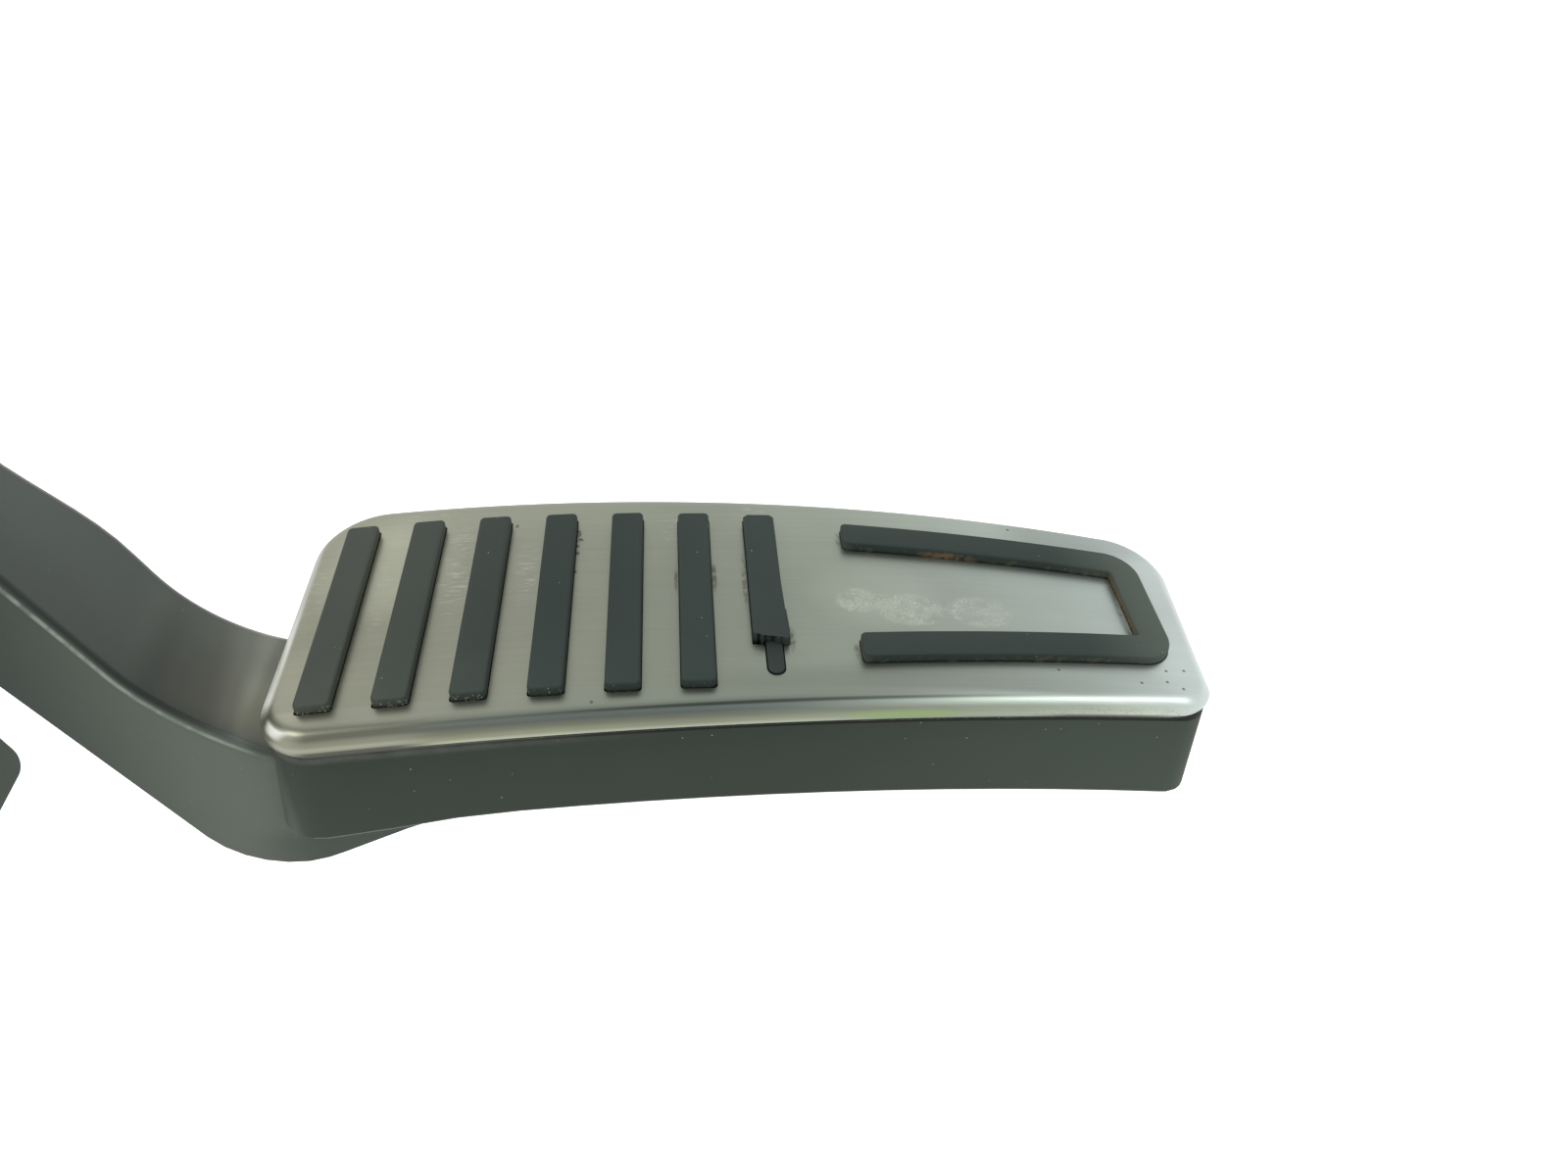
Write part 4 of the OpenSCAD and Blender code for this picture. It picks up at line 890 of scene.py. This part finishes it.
def tornOutline(grow):
    x, w = torn["middle"], bars["width"] / 2 + grow
    top = halfWidth(x) - bars["farMargin"] + grow
    return [(x - w, torn["stumpEnd"] - grow), (x + w, torn["stumpEnd"] - grow), (x + w, top), (x - w, top)]


def tailOutline(grow):
    x, w, y = torn["tailMiddle"], torn["tailHalf"] + grow, torn["tailEnd"] - grow
    turns = [math.radians(a) for a in range(180, 361, 20)]
    end = [(x + w * math.cos(a), y + w + w * math.sin(a)) for a in turns]
    top = torn["stumpEnd"] + torn["overlap"]
    return end + [(x + w, top), (x - w, top)]


plate, gap = pad["plateDepth"], pad["slotGap"]
cut = (bars["cutDepth"], bars["cutTop"])
slots = [
    barRow("slotRow", gap, *cut, 0, bars["slotCorner"], coverLook),
    ribbon("uSlot", uPairs(gap), *cut),
    moulding("tornSlot", tornOutline(gap), *cut),
    moulding("tailSlot", tailOutline(gap), *cut),
]

# steel cover: a crowned sheet with a rolled rim

roll, sheet = pad["rimRadius"], pad["coverThickness"]
flatEdge = roll + 0.7
rimEnd = plate + pad["rimHeight"]


def rolled(radius, inset, depth):
    # a quarter turn from the plate down into the rim
    turns = [math.radians(90 * i / 9) for i in range(10)]
    return [(inset + radius * (1 - math.sin(a)), depth + radius * (1 - math.cos(a))) for a in turns]


coverSteel = padShell("coverSteel", [
    (flatEdge, plate), *rolled(roll, 0.0, plate),
    (0.0, rimEnd - 0.12), (0.08, rimEnd - 0.02), (0.2, rimEnd), (sheet - 0.2, rimEnd), (sheet, rimEnd - 0.12),
    *reversed(rolled(roll - sheet, sheet, plate + sheet)), (flatEdge, plate + sheet)])
cutAway(coverSteel, slots, 40.0, coverLook)
print("steel cover made:", len(coverSteel.data.polygons), "faces")

# rubber: six whole bars, the torn one, the U, the sheet and its band

foot, rounding = bars["footDepth"], bars["rounding"]
wholeBars = barRow("wholeBars", 0, foot, 0.0, rounding, bars["cornerRadius"], rubberLook)
uBar = ribbon("uBar", uPairs(0), foot, 0.0, rounding)
half, chamfer = bars["width"] / 2, torn["chamfer"]
farEnd = halfWidth(torn["middle"]) - bars["farMargin"]
tornLine = torn["ragged"] + [(half, farEnd - chamfer), (half - chamfer, farEnd),
                             (chamfer - half, farEnd), (-half, farEnd - chamfer)]
tornLine = [(torn["middle"] + x, y) for x, y in tornLine]
tornWeights = [0.35] * 11 + [0.6] * 3 + [1.0] * 4  # its ragged edge is hardly rounded
tornBar = moulding("tornBar", tornLine, foot, 0.0, rounding, tornWeights)
tornTail = moulding("tornTail", tailOutline(-0.05), foot, torn["tailTop"], 0.2)
for piece in (uBar, tornBar, tornTail):
    settle(piece, 38.0, rubberLook)
rubberBars = settle(joined("rubberBars", [wholeBars, uBar, tornBar, tornTail]), 38.0, rubberLook)

band = {"top": 2.52, "under": 4.02, "rimGap": 4.88, "shoulder": 5.62, "out": 0.38, "bead": 2.7, "edge": 0.15}
edge = sheet + band["edge"]
lipIn = band["out"] + band["edge"]
rubberSheet = padShell("rubberSheet", [
    (roll, band["top"]), (sheet + 0.7, band["top"] + 0.4), (edge, band["top"] + 1.4), (edge, band["rimGap"]),
    (lipIn, band["rimGap"]), (band["out"], band["rimGap"] + 0.2), (band["out"], band["shoulder"] - 0.2),
    (lipIn, band["shoulder"]), (band["bead"], band["shoulder"]), (band["bead"], band["under"])])
gate = {"from": (-53.0, -19.8, -30.0), "to": (-42.7, -0.2, -7.95)}  # where the arm passes the band


def blockAt(name, low, high):
    bm = bmesh.new()
    corners = [(x, y, z) for x in (low[0], high[0]) for y in (low[1], high[1]) for z in (low[2], high[2])]
    corners = [bm.verts.new(padMatrix @ (Vector(corner) * mm)) for corner in corners]
    for face in ((0, 1, 3, 2), (4, 6, 7, 5), (0, 4, 5, 1), (2, 3, 7, 6), (0, 2, 6, 4), (1, 5, 7, 3)):
        bm.faces.new([corners[i] for i in face])
    return finished(name, bm)


cutAway(rubberSheet, [blockAt("gateCut", gate["from"], gate["to"])], 40.0, rubberLook)
print("rubber made")

# moulded pieces from the frame's solids


def merged(node):
    # a CAD node's mesh with the points that its faces share joined
    bm = bmesh.new()
    bm.from_mesh(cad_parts[node].data)
    bmesh.ops.remove_doubles(bm, verts=bm.verts, dist=0.004 * mm)
    return bm


def dressed(node, name, crease, width=0, segments=0, edges=0):
    # a copy of a CAD node with rounded edges and even shading
    bm = merged(node)
    bmesh.ops.dissolve_limit(bm, angle_limit=math.radians(0.4), verts=bm.verts, edges=bm.edges)
    thing = meshObject(name, bm, looks[node])
    if width:
        softenEdges(thing, width, segments, edges)
    return settle(thing, crease, looks[node])


moulded = {  # name, crease's angle, rounding's width and segments, angle of the edges that are rounded
    "pad_carrier": ("padSkirt", 35.0, 0.35, 3, 30.0),
    "pedal_arm": ("curvedArm", 35.0, 0.55, 3, 30.0),
    "housing": ("pivotHousing", 35.0, 0.45, 2, 35.0),
    "side_cover": ("housingCover", 35.0, 0.4, 2, 35.0),
    "sensor_cover": ("sensorCap", 35.0, 0.35, 2, 35.0),
    "spring_seat": ("springCup", 35.0, 0.3, 2, 35.0),
}


def smoothly(value, low, high):
    t = min(1.0, max(0.0, (value - low) / (high - low)))
    return t * t * (3 - 2 * t)


def bent(thing, move, cuts=()):
    # shifts a piece's points in the pad's own directions, each by move(along, across, level);
    # cuts are places along the pad where faces are first divided
    turn, back = padMatrix.to_3x3(), padMatrix.inverted()
    bm = bmesh.new()
    bm.from_mesh(thing.data)
    for x in cuts:
        bmesh.ops.bisect_plane(bm, geom=bm.verts[:] + bm.edges[:] + bm.faces[:], dist=1e-7,
                               plane_co=padMatrix @ Vector((x * mm, 0, 0)), plane_no=turn @ Vector((1, 0, 0)))
    for vertex in bm.verts:
        x, y, z = back @ vertex.co / mm
        vertex.co = vertex.co + turn @ (Vector(move(x, y, z - crown(x))) * mm)
    bm.to_mesh(thing.data)
    bm.free()


def toeCorner(x, y, level):
    place = smoothly(x, 76.0, 84.0) * smoothly(y, -8.0, -17.0)
    return (0, 0, pad["toeLift"] * place * smoothly(level, -2.2, -4.8) * smoothly(level, -15.0, -7.0))


def skirtFoot(x, y, level):
    near = smoothly(y, 0.0, -19.0)
    flare = 0.5 * smoothly(x, 60.0, 83.0) * smoothly(level, -19.0, -8.0)
    out = skirt["footOut"] * near * smoothly(x, -38.0, -45.0) * smoothly(level, -6.0, -20.0)
    down = skirt["footDown"] * near * smoothly(x, -18.0, -42.0) * smoothly(level, -9.0, -21.0)
    return (flare - out, 0, toeCorner(x, y, level)[2] - down)


def armDip(x, y, level):
    slide = min(1.0, max(0.0, (x + 68.0) / 20.5)) ** 2
    drop = arm["dip"] * slide * smoothly(y, -9.0, -18.0) * smoothly(level, -27.0, -13.0)
    rise = arm["rise"] * smoothly(x, -46.0, -28.0) * smoothly(y, -11.0, -17.0) * smoothly(level, -17.0, -22.0)
    return (0, 0, rise - drop)


made = {node: dressed(node, *shape) for node, shape in moulded.items()}
bent(made["pad_carrier"], skirtFoot)
for piece in (coverSteel, rubberSheet):
    bent(piece, toeCorner)
print("moulded pieces made")

# the arm's dished face

arm = {
    "pivot": 35.0,
    "front": 5.3,
    "lean": 7.2,
    "bendDrop": 118.3,
    "bendRadius": 25.0,
    "padPoint": (-34.0, -8.53),  # where its face ends under the pad, along and below the bars' tops
    "half": 9.5,
    "neckIn": 5.0,
    "neckTop": -71.0,
    "neckLength": 25.0,
    "bead": 0.95,
    "dish": 1.35,
    "skin": 1.9,
    "top": -22.0,
    "dip": 3.4,  # how far the near edge drops where it meets the pad
    "rise": 1.4,  # how far its lower edge rises under the pad
    "riseCuts": (-42.0, -37.0, -32.0, -27.0, -22.0),
    "straightSteps": 24,
    "bendSteps": 24,
    "footSteps": 12,
}


def armLine():
    # points down the arm's front with the outward direction at each, in the X-Z plane
    lean = math.radians(arm["lean"])
    corner = Vector((arm["pivot"] + arm["front"] + arm["bendDrop"] * math.tan(lean), -arm["bendDrop"]))
    start = corner + Vector((-math.sin(lean), math.cos(lean))) * (arm["bendDrop"] + arm["top"])
    foot = padMatrix @ (Vector((arm["padPoint"][0], 0, arm["padPoint"][1])) * mm) / mm
    end = Vector((foot.x, foot.z))
    u, v = (start - corner).normalized(), (end - corner).normalized()
    half, radius = u.angle(v) / 2, arm["bendRadius"]
    middle = corner + (u + v).normalized() * radius / math.sin(half)
    first, last = corner + u * radius / math.tan(half), corner + v * radius / math.tan(half)
    a, b = (first - middle).normalized(), (last - middle).normalized()
    sweep = a.angle(b)
    line = [(start.lerp(first, i / arm["straightSteps"]), -a) for i in range(arm["straightSteps"])]
    for i in range(arm["bendSteps"] + 1):
        t = i / arm["bendSteps"]
        out = (a * math.sin((1 - t) * sweep) + b * math.sin(t * sweep)) / math.sin(sweep)
        line.append((middle + out * radius, -out))
    return line + [(last.lerp(end, i / arm["footSteps"]), -b) for i in range(1, arm["footSteps"] + 1)]


def armFar(z):
    return arm["half"] - arm["neckIn"] * smoothly(z, arm["neckTop"] - arm["neckLength"], arm["neckTop"])


def armProfile(far):
    # across the face: depth below the arm's outline at each place, bead on the near edge
    near, r = -arm["half"], arm["bead"]
    points = [(near, arm["skin"])]
    for a in (math.radians(180 - 22.5 * i) for i in range(9)):
        points.append((near + r + r * math.cos(a), r - r * math.sin(a)))
    points.append((near + 2 * r + 0.12, arm["dish"] * 0.93))
    floorStart, floorEnd = near + 2 * r + 0.45, far - 0.55
    for t in (i / 10 for i in range(11)):
        shallow = 0.12 * t + 0.80 * max(0, (t - 0.45) / 0.55) ** 2.2
        points.append((floorStart + (floorEnd - floorStart) * t, arm["dish"] * (1 - shallow)))
    return points + [(far - 0.25, 0.02), (far - 0.08, 0.08), (far, 0.3), (far, arm["skin"])]


def armSweep(name, profile):
    # a profile carried down the arm's front; across runs from 0 to 1 round each ring
    bm = bmesh.new()
    rows = []
    for place, out in armLine():
        spots = [(place - out * depth, y) for y, depth in profile(armFar(place.y))]
        rows.append([bm.verts.new(Vector((spot.x, y, spot.y)) * mm) for spot, y in spots])
    count = len(rows[0])
    wall(bm, rows)
    bm.faces.new(rows[0])
    bm.faces.new(rows[-1][::-1])
    thing = finished(name, bm)
    across = thing.data.attributes.new("across", "FLOAT", "POINT")
    across.data.foreach_set("value", [(i % count) / (count - 1) for i in range(len(thing.data.vertices))])
    return thing


def armPocket(far):
    near = -arm["half"]
    return [(near - 1, arm["skin"]), (near - 1, -1.0), (far + 1, -1.0), (far + 1, arm["skin"])]


cutAway(made["pedal_arm"], [armSweep("armPocket", armPocket)], 35.0, armLook)
armFace = settle(armSweep("armFace", armProfile), 40.0, armLook)
bent(made["pedal_arm"], armDip, arm["riseCuts"])
bent(armFace, armDip)
print("arm's face made")

# screws

padUp = padMatrix.to_3x3() @ Vector((0, 0, 1))
screws = {
    # name, direction of the heads, their radius and height, largest random turn
    "side_cover_screws": ("coverScrews", (0, -1, 0), 3.3, 2.1, 1.2),
    "sensor_cover_screws": ("sensorScrews", (0, 1, 0), 2.9, 1.9, 0.6),
    "carrier_screws": ("padScrews", tuple(-padUp), 3.4, 1.9, 1.8),
}
screwShape = {
    "points": 36,
    "dome": [(1.0, 0.0), (1.0, 0.35), (0.93, 0.68), (0.78, 0.9), (0.6, 1.0)],  # shares of radius and height
    "socket": (0.42, 0.07),  # its six lobes' middle radius and how far they stand out
    "shank": (1.3, 1.6),  # radii at the tip and under the head
    "sunk": 0.9,
}


def screwTemplate(name, head, height):
    # a domed head with a six-lobed socket, standing on the origin along Z
    turns = [2 * math.pi * i / screwShape["points"] for i in range(screwShape["points"])]
    middle, lobe = screwShape["socket"]
    socket = [(middle + lobe * math.cos(6 * a)) * head for a in turns]
    rings = [([head * radius] * len(turns), height * level) for radius, level in screwShape["dome"]]
    rings += [(socket, height * 0.98), ([0.96 * radius for radius in socket], height * 0.35)]
    bm = bmesh.new()
    return capped(name, bm, [[bm.verts.new(Vector((r * math.cos(a), r * math.sin(a), z)) * mm)
                              for r, a in zip(radii, turns)] for radii, z in rings])


def screwTree():
    # puts the screw on every point, lined up with the given axis and turned at random
    tree, graph, size = newTree("screwRow", {
        "Geometry": ("Geometry", None), "Screw": ("Object", None), "Axis": ("Vector", None),
        "Turn": ("Float", 0.5), "Seed": ("Int", 3), "Finish": ("Material", None)})
    facing = graph.add(
        "FunctionNodeAlignRotationToVector", {"axis": "Z"}, {"Vector": size["Axis"]}, "Rotation")
    chance = {"Min": 0.0, "Max": size["Turn"], "Seed": size["Seed"]}
    spin = graph.add("FunctionNodeRandomValue", {"data_type": "FLOAT"}, chance, "Value")
    turned = graph.add("FunctionNodeRotateRotation", {"rotation_space": "LOCAL"}, {
        "Rotation": facing, "Rotate By": graph.vector(0.0, 0.0, spin)}, "Rotation")
    screw = graph.add("GeometryNodeObjectInfo", None, {"Object": size["Screw"]}, "Geometry")
    row = graph.add("GeometryNodeInstanceOnPoints", None, {
        "Points": size["Geometry"], "Instance": screw, "Rotation": turned})
    row = graph.add("GeometryNodeRealizeInstances", None, {"Geometry": row})
    row = graph.add("GeometryNodeSetMaterial", None, {"Geometry": row, "Material": size["Finish"]})
    graph.add("NodeGroupOutput", None, {"Geometry": row})
    return tree


def islands(node):
    # the separate solids of a CAD node, as lists of points
    bm = merged(node)
    left, found = set(bm.verts), []
    while left:
        stack, group = [left.pop()], []
        while stack:
            v = stack.pop()
            group.append(v.co.copy())
            for e in v.link_edges:
                other = e.other_vert(v)
                if other in left:
                    left.remove(other)
                    stack.append(other)
        found.append(group)
    bm.free()
    return found


rowTree = screwTree()
for node, (name, axis, radius, height, spread) in screws.items():
    axis = Vector(axis).normalized()
    turn = axis.to_track_quat("Z", "Y").to_matrix().to_4x4()
    shanks, seats = bmesh.new(), bmesh.new()
    for group in sorted(islands(node), key=lambda g: (round(g[0].x, 3), round(g[0].z, 3))):
        middle = sum(group, Vector()) / len(group)
        line = middle - axis * middle.dot(axis)
        reach = [p.dot(axis) for p in group]
        tip, top = min(reach), max(reach) - height * mm * screwShape["sunk"]
        seats.verts.new(line + axis * (max(reach) - height * mm))
        bmesh.ops.create_cone(shanks, cap_ends=True, segments=24, radius1=screwShape["shank"][0] * mm,
                              radius2=screwShape["shank"][1] * mm, depth=top - tip,
                              matrix=Matrix.Translation(line + axis * (tip + top) / 2) @ turn)
    template = screwTemplate("screwTemplate", radius, height)
    inputs = {"Screw": template, "Axis": tuple(axis), "Turn": spread, "Finish": looks[node]}
    heads = grown(name + "Heads", seats, rowTree, inputs, 32.0)
    bpy.data.objects.remove(template)
    made[node] = settle(joined(name, [heads, meshObject("shanks", shanks)]), 32.0, looks[node])
print("screws made")

# return springs, smooth-shaded copies of the frame's coils

endTurn = 2.2  # height of the closed turns at each end
for node, name in (("return_spring_outer", "outerSpring"), ("return_spring_inner", "innerSpring")):
    coil = dressed(node, name, 60.0)
    heights = [vertex.co.z for vertex in coil.data.vertices]
    foot, head = min(heights) + endTurn * mm, max(heights) - endTurn * mm
    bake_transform(coil)
    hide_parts(node)
print("springs made")

# what rides on what

riding = {
    "pedal": [(coverSteel, "pad_cover"), (rubberBars, "pad_rubber"), (rubberSheet, "pad_rubber"),
              "pad_carrier", "carrier_screws", "pedal_arm", (armFace, "pedal_arm")],
    "base": ["housing", "side_cover", "side_cover_screws", "sensor_cover", "sensor_cover_screws"],
    "seat": ["spring_seat"],
}
for body, pieces in riding.items():
    for entry in pieces:
        piece, node = (made[entry], entry) if isinstance(entry, str) else entry
        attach(piece, body)
        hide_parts(node)

# floor, light and camera

stage = {
    "floorDrop": 0.035,
    "floorSize": 3.0,
    "floorShade": 0.92,
    "floorLight": 0.45,  # what the camera sees the floor give by itself
    "worldStrength": 0.62,
    "lamps": {  # place, aimed at, size, watts, colour, seen in reflections
        "overhead": ((0.15, 0.10, 0.95), (0.12, 0.0, -0.10), 0.9, 6.0, (1.0, 1.0, 0.98), False),
        "nearLeft": ((-0.45, -0.75, 0.35), (0.08, 0.0, -0.12), 0.6, 2.0, (1.0, 0.99, 0.96), False),
        "cornerGlint": ((-0.245, -0.11, 0.67), (0.066, -0.01, -0.11), 0.10, 2.4, (1.0, 1.0, 0.97), True),
        "toeGlint": ((0.824, -0.384, 0.258), (0.178, -0.01, -0.15), 0.20, 1.5, (0.97, 1.0, 1.0), True),
    },
}
camera = {"place": (0.153695, -0.118135, -0.023275), "turn": (47.6331, 16.2916, -4.8172), "lens": 27.0}

low = min(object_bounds()[0][2], cadBox[0][2])
bm = bmesh.new()
size = stage["floorSize"]
for x, y in ((-size, -size), (size, -size), (size, size), (-size, size)):
    bm.verts.new((x, y, low - stage["floorDrop"]))
bm.faces.new(bm.verts)
floor = meshObject("floor", bm)
paper = bpy.data.materials.new("palePaper")
paper.use_nodes = True
paper.node_tree.nodes.clear()
graph = Graph(paper.node_tree)
ray = graph.add("ShaderNodeLightPath", None, None, "Is Camera Ray")
matt = graph.add("ShaderNodeBsdfDiffuse", None, {"Color": (*[stage["floorShade"]] * 3, 1)})
lit = graph.add("ShaderNodeEmission", None, {"Color": (1, 1, 1, 1), "Strength": ray * stage["floorLight"]})
both = graph.add("ShaderNodeAddShader", None, {0: matt, 1: lit})
graph.add("ShaderNodeOutputMaterial", None, {"Surface": both})
floor.data.materials.append(paper)

world = bpy.data.worlds.new("softRoom")
bpy.context.scene.world = world
world.use_nodes = True
world.node_tree.nodes.clear()
graph = Graph(world.node_tree)
rays = graph.add("ShaderNodeLightPath", None, None, "Is Camera Ray")
glossy = Wire(graph, rays.socket.node.outputs["Is Glossy Ray"])
through = Wire(graph, rays.socket.node.outputs["Is Transmission Ray"])
seen = (rays + glossy + through).clipped()
strength = stage["worldStrength"] + seen * (1.0 - stage["worldStrength"])
sky = graph.add("ShaderNodeBackground", None, {"Color": (1, 1, 1, 1), "Strength": strength})
graph.add("ShaderNodeOutputWorld", None, {"Surface": sky})

for name, (place, aim, size, watts, colour, mirrored) in stage["lamps"].items():
    lamp = bpy.data.lights.new(name, "AREA")
    lamp.shape = "DISK"
    lamp.size = size
    lamp.energy = watts
    lamp.color = colour
    holder = bpy.data.objects.new(name, lamp)
    holder.location = place
    holder.visible_glossy = mirrored
    holder.rotation_euler = (Vector(aim) - Vector(place)).to_track_quat("-Z", "Y").to_euler()
    bpy.context.scene.collection.objects.link(holder)

view = bpy.data.cameras.new("photoCamera")
view.lens = camera["lens"]
view.sensor_width = 36.0
view.clip_start = 0.005
holder = bpy.data.objects.new("photoCamera", view)
holder.location = camera["place"]
holder.rotation_euler = [math.radians(a) for a in camera["turn"]]
bpy.context.scene.collection.objects.link(holder)
bpy.context.scene.camera = holder
bpy.context.scene.view_settings.view_transform = "Standard"
print("stage set")
